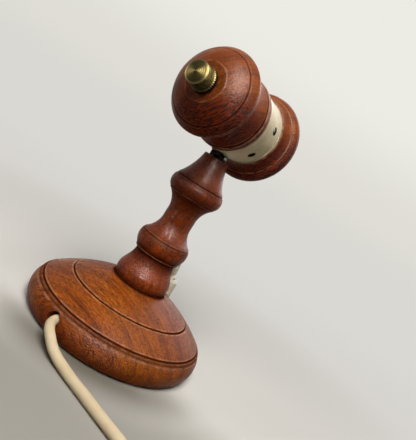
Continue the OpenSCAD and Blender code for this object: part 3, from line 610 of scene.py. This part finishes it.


# wear with painted highlights, dirt with painted shade, and bare wood as point values, from the nearest
# point of the outline; each further mark says where it is, how far it reaches in mm and how strong it is
def ageSurface(piece, line, place, closed, rubsAndHighlights, dirtAndShadeSpots, stripped, c=ageSet):
    wearAndHighlight, dirtAndShade = wearAlong(line, closed)
    bare = np.zeros(len(line))
    outline = np.array(line, float)
    for spots, amount in ((rubsAndHighlights, wearAndHighlight), (dirtAndShadeSpots, dirtAndShade), (stripped, bare)):
        for spot, reach, level in spots:
            off = np.hypot(*(outline - np.array(spot)).T)
            fade = np.clip((reach - off) / max(reach * c["fade"], reach - 1), 0, 1)
            np.maximum(amount, level * fade, out=amount)
    mesh = piece.data
    co = np.zeros(len(mesh.vertices) * 3)
    mesh.vertices.foreach_get("co", co)
    back = np.array(place.inverted())
    local = co.reshape(-1, 3) / mm @ back[:3, :3].T + back[:3, 3]
    flat = np.stack([np.hypot(local[:, 0], local[:, 1]), local[:, 2]], 1)
    nearest, off = np.zeros(len(flat), int), np.zeros(len(flat))
    for first in range(0, len(flat), c["batch"]):
        some = slice(first, first + c["batch"])
        gaps = np.hypot(*(flat[some, None] - outline[None]).transpose(2, 0, 1))
        nearest[some], off[some] = gaps.argmin(1), gaps.min(1)
    # hole walls off the outline are painted dark as shade
    wall = off > c["wallOff"]
    for key, amount, onWall in (("wearAndHighlight", wearAndHighlight, 0), ("dirtAndShade", dirtAndShade, c["wallShade"]), ("bare", bare, 0)):
        layer = mesh.attributes.new(key, "FLOAT", "POINT")
        layer.data.foreach_set("value", np.where(wall, onWall, amount[nearest]).astype(np.float32))


def finishPiece(piece, material, body, replaced, sharp=38):
    piece.data.materials.clear()
    piece.data.materials.append(material)
    piece.data.shade_smooth()
    piece.data.set_sharp_from_angle(angle=math.radians(sharp))
    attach(piece, body)
    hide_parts(replaced)


# a turned piece with its holes, wear and finish
def turnPiece(name, line, place, material, body, replaced, closed=True, sides=128, ease=0.3, gap=0.9,
              holes=(), wobble=None, rubsAndHighlights=(), dirtAndShadeSpots=(), stripped=()):
    line = fillIn(easeCorners(line, ease, closed), gap, closed)
    piece = spin(name, line, place, closed, sides, wobble)
    if holes:
        drill(piece, *holes)
    ageSurface(piece, line, place, closed, rubsAndHighlights, dirtAndShadeSpots, stripped)
    finishPiece(piece, material, body, replaced)
    return piece


def rod(radius, low, high, place, sides):
    line = [(0, low), (radius, low), (radius, high), (0, high)]
    return spin("cutter", line, place, False, sides)


upright = Matrix.Identity(4)

# base: domed disc with a swelling rim, a bead, two grooves, the cord hole and the switch's hole
baseSet = {
    "foot": (49, 0.8), "ridge": (50, 13.3), "swell": 2.1, "bead": 0.3, "underBead": (49.2, 14.6),
    "crownEdge": (48.34, 15.8), "crownSeat": (15.1, 32.4), "crownBow": 1.75,
    "innerGroove": 35.35, "grooveWidth": 1.3, "grooveDepth": 0.65,
    "bore": 5.05, "ceiling": 14, "hollow": 37, "plateTop": 4, "recess": 43.1,
    "cordHole": 4, "cordHoleHeight": 8.8, "cordHoleSpan": (36, 60),
    "switchAt": 29, "bushHole": 4.7, "bodyHole": 7.7, "bodyTop": 20, "switchHoleSpan": (10, 40),
    "holeSides": 64,
}


def crownAt(r, c=baseSet):
    arc = np.array(bow(c["crownEdge"], c["crownSeat"], c["crownBow"], 80))
    return float(np.interp(r, arc[::-1, 0], arc[::-1, 1]))


def makeBase(c):
    outer = bow(c["foot"], c["ridge"], c["swell"], 20)
    outer += bow(c["ridge"], c["crownEdge"], c["bead"], 6)[1:]
    outer += bow(c["crownEdge"], c["crownSeat"], c["crownBow"], 44)[1:]
    for centre in (c["crownEdge"], (c["innerGroove"], crownAt(c["innerGroove"]))):
        outer = cutGroove(outer, centre, c["grooveWidth"], c["grooveDepth"])
    line = [(c["recess"], c["foot"][1])] + outer
    line += [(c["bore"], c["crownSeat"][1]), (c["bore"], c["ceiling"]), (c["hollow"], c["ceiling"]),
             (c["hollow"], c["plateTop"]), (c["recess"], c["plateTop"])]
    outward = Matrix.Translation((0, 0, c["cordHoleHeight"])) @ Matrix.Rotation(math.radians(-90), 4, "Y")
    cordHole = rod(c["cordHole"], *c["cordHoleSpan"], outward, c["holeSides"])
    low, high = c["switchHoleSpan"]
    stepped = [(0, low), (c["bodyHole"], low), (c["bodyHole"], c["bodyTop"]), (c["bushHole"], c["bodyTop"]),
               (c["bushHole"], high), (0, high)]
    switchHole = spin("cutter", stepped, Matrix.Translation((c["switchAt"], 0, 0)), False, c["holeSides"])
    # the pale line on the ridge is wear and a painted highlight; darker where the column meets the crown,
    # and a darker, duller band under the bead
    turnPiece("turned_base", line, upright, baseWood, "stand", "base", sides=192,
              holes=(cordHole, switchHole), rubsAndHighlights=[(c["ridge"], 0.7, 0.5)],
              dirtAndShadeSpots=[(c["crownSeat"], 1.9, 1), (c["underBead"], 1.2, 0.6)])


makeBase(baseSet)
print("base turned")

# column: foot bulb, two beaded collars, a waist and a tapering top
columnSet = {
    "foot": (15.1, 32.4), "footBow": 1, "belly": (14.7, 41.2), "shoulder": (14.6, 41.6), "neckBow": -0.4,
    "neck": (11.9, 48.8), "lip": [(11.9, 50.3), (13.06, 50.9), (13.26, 51.4)],
    "low": (13.36, 52.2), "lowBow": 1.15, "lowTop": (14.36, 61), "lowEdge": (14.16, 61.7),
    "waistFrom": (13.86, 61.8), "waist": (8.75, 74.6), "waistOn": (8.75, 74.7), "waistTo": (13.86, 87.6),
    "waistBow": -1.9, "underUp": (13.36, 86.5),
    "up": (14.16, 88.2), "upBow": 1.35, "upTop": (14.36, 96.2), "upEdge": (14.16, 97),
    "taper": (13.96, 96.9), "taperBow": -1.1, "tip": (7.31, 112.8), "end": (6.91, 113.2),
    "bore": 5.05, "seat": (5.45, 110.4), "softWaist": 3, "softBelly": 2.2,
    "lines": [(13.36, 51.85), (14.36, 61), (14.11, 88), (14.36, 96.4)], "lineWidth": 0.8, "lineDepth": 0.35,
}


def makeColumn(c):
    outer = bow(c["foot"], c["belly"], c["footBow"], 10) + bow(c["shoulder"], c["neck"], c["neckBow"], 10)
    outer += c["lip"] + bow(c["low"], c["lowTop"], c["lowBow"], 12)
    outer += bow(c["waistFrom"], c["waist"], c["waistBow"], 20)
    outer += bow(c["waistOn"], c["waistTo"], c["waistBow"], 20)
    outer += bow(c["up"], c["upTop"], c["upBow"], 12)
    outer += bow(c["taper"], c["tip"], c["taperBow"], 20) + [c["end"]]
    outer = soften(soften(outer, c["waist"], c["softWaist"]), c["belly"], c["softBelly"])
    for centre in c["lines"]:
        outer = cutGroove(outer, centre, c["lineWidth"], c["lineDepth"])
    line = [(c["bore"], c["foot"][1])] + outer
    line += [(c["seat"][0], c["end"][1]), c["seat"], (c["bore"], c["seat"][1])]
    # broad darker bands at the foot, by the collars and under the tip; pale lines on the collar edges
    turnPiece("turned_column", line, upright, columnWood, "stand", "column", ease=0.15, gap=0.6,
              rubsAndHighlights=[(c["lip"][-1], 0.3, 0.3), (c["waistTo"], 0.3, 0.3), (c["lowEdge"], 0.25, 0.3),
                    (c["upEdge"], 0.25, 0.3)],
              dirtAndShadeSpots=[(c["foot"], 0.9, 1), (c["foot"], 4, 0.6), (c["neck"], 6, 0.6), (c["underUp"], 9, 0.6),
                      (c["low"], 3, 0.5), (c["lowTop"], 3.5, 0.45), (c["up"], 3, 0.5),
                      (c["upTop"], 3.5, 0.45), (c["tip"], 3, 0.3)])


makeColumn(columnSet)
print("column turned")

# the head turns about its own axis, which tips forward a little at rest
headSet = {"pinHeight": 115.05, "tilt": 2.2, "axisRise": 21.55}
inHead = (Matrix.Translation((0, 0, headSet["pinHeight"]))
          @ Matrix.Rotation(math.radians(headSet["tilt"]), 4, "Y")
          @ Matrix.Translation((0, 0, headSet["axisRise"])) @ Matrix.Rotation(math.radians(90), 4, "Y"))

# rear dome: spot-face for the finial, a domed cap with a thin line, an undercut and a flared stage
domeSet = {
    "spot": (10.5, -47.7), "spotEdge": 0.3, "domeBow": 1.5, "wide": (22.5, -37.4), "brimBow": 0.3,
    "brim": (21.5, -33.8), "undercut": (17.8, -32.9), "under": (17.2, -31.2), "coveBow": -0.9,
    "bead": (20.2, -16), "beadEdge": (20.4, -16.9), "stageFrom": (20.22, -15.9), "stageBow": 0.35,
    "stage": (20.4, -11.3), "face": (19.8, -11), "socket": 13, "socketBack": -31, "bore": 5.05,
    "lineAt": 16, "lineWidth": 0.9, "lineDepth": 0.3, "grooveWidth": 1.6, "grooveDepth": 0.6,
    "bareEdge": 0.4,
}


def makeDome(c):
    r, s = c["spot"]
    cap = bow((r, s + c["spotEdge"]), c["wide"], c["domeBow"], 24)
    outer = [(r - c["spotEdge"], s)] + cutGroove(cap, cap[c["lineAt"]], c["lineWidth"], c["lineDepth"])
    outer += bow(c["wide"], c["brim"], c["brimBow"], 6)[1:] + [c["undercut"]]
    outer += bow(c["under"], c["bead"], c["coveBow"], 16)
    outer += bow(c["stageFrom"], c["stage"], c["stageBow"], 8) + [c["face"]]
    outer = cutGroove(outer, c["bead"], c["grooveWidth"], c["grooveDepth"])
    line = [(c["bore"], s)] + outer
    line += [(c["socket"], c["face"][1]), (c["socket"], c["socketBack"]), (c["bore"], c["socketBack"])]
    # the pale line along the brim is wear and a painted highlight
    turnPiece("turned_dome", line, inHead, headWood, "head", "rear_dome", gap=0.6,
              rubsAndHighlights=[(c["brim"], 1.1, 1), (c["beadEdge"], 0.5, 0.6), (c["stage"], 0.9, 1)],
              stripped=[((c["bore"], s), r - c["bore"] - c["bareEdge"], 1)])


makeDome(domeSet)

# front ring: a cove, a small ridge, a rolled rim and a chamfered mouth
ringSet = {
    "fit": (19.75, 10.95), "start": (20.65, 10.95), "coveBow": -0.9, "ridge": (23.55, 17.9),
    "ridgeEdge": (23.65, 18.1), "ridgeTop": (23.85, 18.4), "crestFrom": (23.85, 18.5), "crestBow": 0.6,
    "crest": (26.6, 22.8), "rimBow": 1.1, "faceOut": (23.2, 27.9), "faceIn": (21.15, 27.9), "mouthBow": 0.6,
    "mouth": (18.75, 22.4), "step": 20.0,
}


def makeRing(c):
    outer = bow(c["start"], c["ridge"], c["coveBow"], 12) + [c["ridgeTop"]]
    outer += bow(c["crestFrom"], c["crest"], c["crestBow"], 10)
    outer += bow(c["crest"], c["faceOut"], c["rimBow"], 12)[1:]
    outer += bow(c["faceIn"], c["mouth"], c["mouthBow"], 8)
    line = [c["fit"]] + outer + [(c["mouth"][0], c["step"]), (c["fit"][0], c["step"])]
    turnPiece("turned_ring", line, inHead, headWood, "head", "front_ring", ease=0.25, gap=0.6,
              rubsAndHighlights=[(c["ridgeEdge"], 0.5, 0.45)])


makeRing(ringSet)
print("head wood turned")


# paints a piece of the head matt black as painted shade where the test holds, by distance off the axis and
# along it
def paintShadeBlack(piece, test):
    piece.data.materials.append(finishes["paintedShadeBlack"])
    back = inHead.inverted()
    for face in piece.data.polygons:
        at = back @ (face.center / mm)
        face.material_index = int(test(math.hypot(at.x, at.y), at.z))


# lamp can: thin spun steel with a step at the ring; of its seven holes the first takes the neck's stud
# and six are vents
canSet = {
    "back": -11, "front": 19.9, "radius": 19.65, "wall": 0.9, "socket": 13.2, "step": (9.7, 10.9),
    "stepOut": 0.5, "holes": 7, "ventRadius": 2.2, "ventAt": 2.1, "studHole": 1.7, "cutPast": 2,
    "holeSides": 40, "creamDepth": 0.2,
}


def makeCan(c):
    r, inner, out = c["radius"], c["radius"] - c["wall"], c["radius"] + c["stepOut"]
    a, b = c["step"]
    floor = c["back"] + c["wall"]
    line = [(c["socket"], c["back"]), (r, c["back"]), (r, a), (out, a), (out, b), (r, b), (r, c["front"]),
            (inner, c["front"]), (inner, floor), (c["socket"], floor)]
    holes = []
    axis = inHead @ Matrix.Rotation(math.radians(-90), 4, "Y")
    for k in range(c["holes"]):
        radius, at = (c["ventRadius"], c["ventAt"]) if k else (c["studHole"], 0)
        turn = Matrix.Rotation(math.radians(180 + 360 * k / c["holes"]), 4, "X")
        where = axis @ turn @ Matrix.Translation((at, 0, 0))
        holes.append(rod(radius, inner - c["cutPast"], r + c["cutPast"], where, c["holeSides"]))
    # the darker band at the can's back edge is a painted shadow under the dome's overhanging stage; the
    # step ring is darker with dirt
    piece = turnPiece("spun_can", line, inHead, enamel, "head", "lamp_can", ease=0.2,
                      holes=holes, dirtAndShadeSpots=[((out, (a + b) / 2), 0.9, 0.5), ((r, c["back"]), 1.6, 1)])
    paintShadeBlack(piece, lambda off, along: off < r - c["creamDepth"])  # black inside, painted shade so that the vents look dark


makeCan(canSet)

# finial: turned brass, a round body with a low coned end and a knurled flange on the spot-face
finialSet = {
    "spot": -47.7, "length": 10.2, "flangeRadius": 6.4, "flange": 3, "chamfer": 0.5, "radius": 5.75,
    "cone": 1, "bulge": 0.08, "bore": 5, "depth": 5.8, "knurls": 36, "knurlDepth": 0.4,
}


def makeFinial(c):
    s, r, out = c["spot"], c["radius"], c["flangeRadius"]
    brass = tarnishedBrass("tarnished_brass", inHead.translation, inHead.to_3x3() @ Vector((0, 0, 1)))
    rim = c["length"] - c["cone"]
    body = bow((r - 0.1, c["flange"] + 0.1), (r, rim - 0.2), -c["bulge"], 8)
    cone = bow((r - 0.2, rim), (0, c["length"]), c["bulge"], 12)
    flange = [(c["bore"], 0), (out, 0), (out, c["flange"] - c["chamfer"]),
              (out - c["chamfer"], c["flange"])]
    line = [(0, c["depth"]), (c["bore"], c["depth"])] + flange + body + cone
    line = [(radius, s - along) for radius, along in line][::-1]

    def crestAt(a):  # 1 on the crest of a tooth, 0 between two
        return abs(math.sin(a * c["knurls"] / 2))

    def knurl(radius, z, a):
        if radius < out - 0.3 or z < s - c["flange"] + c["chamfer"] - 0.1:
            return radius
        return radius - c["knurlDepth"] * (1 - crestAt(a))

    piece = turnPiece("turned_finial", line, inHead, brass, "head", "finial", closed=False,
                      sides=432, ease=0.15, gap=0.25, wobble=knurl)
    back = inHead.inverted()
    wearAndHighlight, dirtAndShade = (piece.data.attributes[key].data for key in ("wearAndHighlight", "dirtAndShade"))
    for v in piece.data.vertices:  # painted shade and dirt between the teeth, painted highlight and wear on the crests
        at = back @ (v.co / mm)
        if math.hypot(at.x, at.y) > r + 0.15 and at.z > s - c["flange"]:
            crest = crestAt(math.atan2(at.y, at.x))
            wearAndHighlight[v.index].value, dirtAndShade[v.index].value = max(0, crest - 0.5), min(1, 1.5 - 1.5 * crest)


makeFinial(finialSet)
print("can and finial made")

# switch collar: a moulded rose with a domed top, its foot shaped to the crown of the base
collarSet = {
    "at": 29, "radius": 6.3, "top": 38, "bush": 4.7, "mouth": 3.6, "mouthEdge": 0.2, "roof": 1, "gap": 0.2,
    "draft": 0.3, "dome": 3, "domeBow": 0.9, "shoulder": 4,
}


def makeCollar(c):
    r, top = c["radius"], c["top"]
    low = crownAt(c["at"] + r) + c["gap"]
    side = (r - c["draft"], top - c["dome"])
    dome = bow((side[0] - 0.05, side[1] + 0.1), (r - c["dome"], top), c["domeBow"], 12)
    dome = [p for p in dome if p[0] > c["mouth"] + c["mouthEdge"]]
    line = [(c["bush"], low), (r, low), side] + dome + [(c["mouth"], dome[-1][1])]
    line += [(c["mouth"], top - c["roof"]), (c["bush"], top - c["roof"])]
    piece = turnPiece("switch_rose", line, Matrix.Translation((c["at"], 0, 0)), finishes["creamUrea"],
                      "stand", "switch_collar", sides=96)
    shoulder = top - c["shoulder"]
    for v in piece.data.vertices:  # below the shoulder the wall is drawn up to follow the crown
        seat = crownAt(math.hypot(v.co.x, v.co.y) / mm) + c["gap"]
        share = (v.co.z / mm - low) / (shoulder - low)
        if share < 1:
            v.co.z = (seat + share * (shoulder - seat)) * mm


# toggle lever: a moulded stick with a ball at its pivot, a waist and a round tip, as arcs up from the pivot
leverSet = {
    "at": 29, "pivot": 35.6, "lean": 10, "foot": (0, -3),
    "arcs": [((1.6, -3), (2.9, 0), 0.5, 6), ((2.9, 0.2), (2, 4), 0.4, 6), ((2, 4.4), (2.9, 7), 0.3, 6),
             ((2.9, 7.4), (2.4, 15), 0.1, 6), ((2.4, 15.2), (0, 17.4), 0.8, 10)],
}


def makeLever(c):
    line = [c["foot"]] + [point for arc in c["arcs"] for point in bow(*arc)]
    place = Matrix.Translation((c["at"], 0, c["pivot"])) @ Matrix.Rotation(math.radians(-c["lean"]), 4, "Y")
    turnPiece("switch_toggle_lever", line, place, finishes["creamUrea"], "lever",
              "switch_lever", closed=False, sides=64, ease=0.2)


makeCollar(collarSet)
makeLever(leverSet)
print("switch made")

# small spot bulb, as arcs along the head's axis: sides painted black as painted shade, and a frosted front
bulbSet = {
    "neck": [(0, 4), (6.8, 4)], "blackTo": 22,
    "arcs": [((6.8, 5.5), (13.2, 11), -0.4, 10), ((13.2, 11.2), (13.2, 19.5), 0.05, 4),
             ((13.2, 19.7), (0, 27.5), 2.6, 18)],
}


def makeBulb(c):
    line = c["neck"] + [point for arc in c["arcs"] for point in bow(*arc)]
    piece = turnPiece("bulb_envelope", line, inHead, finishes["frostedGlass"], "head",
                      "bulb_glass", closed=False, sides=96)
    paintShadeBlack(piece, lambda off, along: along < c["blackTo"])  # painted shade, so that the vents look dark from outside


makeBulb(bulbSet)

# moulded two-pin plug with rounded edges and a narrow grip
plugSet = {
    "width": 26, "length": 30, "height": 17, "grip": 5, "gripLength": 6, "face": 8, "flankBow": -2.2,
    "round": 2.2, "roundSteps": 4, "crease": 50,
}


def makePlug(c):
    half, wide, g = c["width"] / 2, c["length"] - c["face"], c["gripLength"] + 0.2
    flank = bow((g, -c["grip"]), (wide, -half), c["flankBow"], 12)
    line = [(0, -c["grip"]), (c["gripLength"], -c["grip"])] + flank + [(c["length"], -half)]
    line += [(x, -y) for x, y in line[::-1]]
    low, high = -c["height"] / 2, c["height"] / 2
    points = cordPoints(cordSet)
    way = (points[-1] - points[-2]).normalized()
    place = Matrix.Translation(points[-1]) @ Matrix.Rotation(math.atan2(way.y, way.x), 4, "Z")
    verts = [place @ Vector((x, y, z)) * mm for z in (low, high) for x, y in line]
    n = len(line)
    faces = [list(range(n))[::-1], list(range(n, 2 * n))]
    faces += [[i, (i + 1) % n, (i + 1) % n + n, i + n] for i in range(n)]
    piece = linkMesh("moulded_plug", verts, faces)
    rounding = piece.modifiers.new("rounding", "BEVEL")
    rounding.width, rounding.segments, rounding.limit_method = c["round"] * mm, c["roundSteps"], "ANGLE"
    rounding.angle_limit = math.radians(c["crease"])
    drill(piece)
    finishPiece(piece, finishes["softPvc"], "stand", "plug_body")
    return piece


plug = makePlug(plugSet)
print("plug made")

# matt paper floor: lit near the lamp, where its shadow falls, with a painted shadow under the rim in front
# and tones that darken towards the viewer's side as painted shade, fading into the even backdrop further
# out
stageSet = {
    "floor": -0.1, "rings": (3000, 400, 100, 0), "away": (0.9, 0.436, 0), "bounce": "#8b877f",
    "patch": (40, 40, 40), "waver": 3, "rough": 0.9,
    # lit and glow: the paper's tone, darker towards the viewer's side as painted shade; shade: a painted
    # shadow under the rim in front
    "lit": ((-80, "#aaa8a3"), (-20, "#e8e8e6"), (60, "#eeeeec")),
    "glow": ((-80, "#a9a69e"), (-20, "#cfccc7"), (60, "#d6d3ce"), (600, "#dad8d2")),
    "litTo": (60, 330), "shade": "#57503f", "shadeOut": (76, 49), "shadeFront": (-12, -55),
    "shadeShare": 0.85,
}


# a colour that changes with a value, through the steps given
def graded(tree, value, steps):
    coats = [(add(tree, "MapRange", {0: value, 1: low, 2: high}, interpolation_type="SMOOTHSTEP"), tone)
             for (low, _), (high, tone) in zip(steps, steps[1:])]
    return layered(tree, steps[0][1], *coats)


# 1 for a ray that the viewer sees, straight, mirrored or through glass
def seenRay(tree):
    path = add(tree, "LightPath").outputs
    direct = add(tree, "Math", {0: path["Is Camera Ray"], 1: path["Is Glossy Ray"]}, operation="MAXIMUM")
    return add(tree, "Math", {0: direct, 1: path["Is Transmission Ray"]}, operation="MAXIMUM")


def makeStage(c):
    floor = spin("floor_sweep", [(ring, c["floor"]) for ring in c["rings"]], upright, False, 96)
    material, tree = newMaterial("matt_paper")
    seen = seenRay(tree)
    place = millimetres(tree)
    waver = mottle(tree, place, c["patch"])
    waver = add(tree, "MapRange", {0: waver, **noiseEnds, 3: -c["waver"], 4: c["waver"]})
    depth = add(tree, "VectorMath", {0: place, 1: c["away"]}, operation="DOT_PRODUCT")
    depth = add(tree, "Math", {0: depth, 1: waver})
    off = add(tree, "VectorMath", {0: place}, operation="LENGTH")
    near, front, far = (
        add(tree, "MapRange", {0: value, 1: c[key][0], 2: c[key][1]}, interpolation_type="SMOOTHSTEP")
        for value, key in ((off, "shadeOut"), (depth, "shadeFront"), (off, "litTo")))
    under = add(tree, "Math", {0: near, 1: front}, operation="MULTIPLY")
    paintedShadow = add(tree, "Math", {0: under, 1: c["shadeShare"]}, operation="MULTIPLY")
    lit = layered(tree, graded(tree, depth, c["lit"]), (paintedShadow, c["shade"]))  # painted shadow under the rim, in front
    paper = add(tree, "BsdfPrincipled", {"Base Color": layered(tree, c["bounce"], (seen, lit)),
                                         "Roughness": c["rough"], "Specular IOR Level": 0.0})
    glow = add(tree, "Emission", {"Color": graded(tree, depth, c["glow"])})
    share = add(tree, "Math", {0: seen, 1: far}, operation="MULTIPLY")
    add(tree, "OutputMaterial", {"Surface": add(tree, "MixShader", {0: share, 1: paper, 2: glow})})
    floor.data.materials.append(material)
    floor.data.shade_smooth()


makeStage(stageSet)

# soft light from above on the viewer's side, a weak one from the left, a window and a sky that only shine
# back from surfaces, and the room; sizes and distances in metres
lightSet = {
    "far": 0.8, "aim": (0, 0, 0.08),
    "key": {"from": (-0.453, -0.257, 0.845), "size": (0.5, 0.5), "power": 7.4,
            "tone": "#fffaf2", "lights": True},
    "side": {"from": (-0.35, 0.85, 0.25), "size": (0.5, 0.5), "power": 0.5,
            "tone": "#f4f6ff", "lights": True},
    "window": {"from": (-0.66, -0.35, 0.66), "size": (0.42, 0.7), "power": 50,
            "tone": "#fff7f0", "lights": False},
    "sky": {"from": (0.87, 0.06, 0.49), "size": (0.7, 0.7), "power": 4,
            "tone": "#f6f7ff", "lights": False},
}
worldSet = {
    "tone": "#e9e9e6", "strength": 0.06,
    "seen": ((0.0, "#dad8d2"), (0.1, "#dfddd6"), (0.28, "#ecebe4")),
}


def makeLights(c):
    for name in ("key", "side", "window", "sky"):
        one = c[name]
        data = bpy.data.lights.new(name + "_light", "AREA")
        data.shape, data.energy, data.color = "RECTANGLE", one["power"], colour(one["tone"])[:3]
        data.size, data.size_y = one["size"]
        lamp = bpy.data.objects.new(name + "_light", data)
        way = Vector(one["from"]).normalized()
        lamp.location = way * c["far"] + Vector(c["aim"])
        lamp.rotation_mode = "QUATERNION"
        lamp.rotation_quaternion = way.to_track_quat("Z", "Y")
        lamp.visible_diffuse = one["lights"]
        scene.collection.objects.link(lamp)


def makeRoom(c):
    room = bpy.data.worlds.new("room")
    room.use_nodes = True
    scene.world = room
    tree = room.node_tree
    tree.nodes.clear()
    light = add(tree, "Background", {"Color": c["tone"], "Strength": c["strength"]})
    rise = add(tree, "SeparateXYZ", {0: add(tree, "TexCoord").outputs["Generated"]}).outputs["Z"]
    backdrop = add(tree, "Background", {"Color": graded(tree, rise, c["seen"]), "Strength": 1.0})
    both = add(tree, "MixShader", {0: seenRay(tree), 1: light, 2: backdrop})
    add(tree, "OutputWorld", {"Surface": both})


makeLights(lightSet)
makeRoom(worldSet)
print("stage and light set")
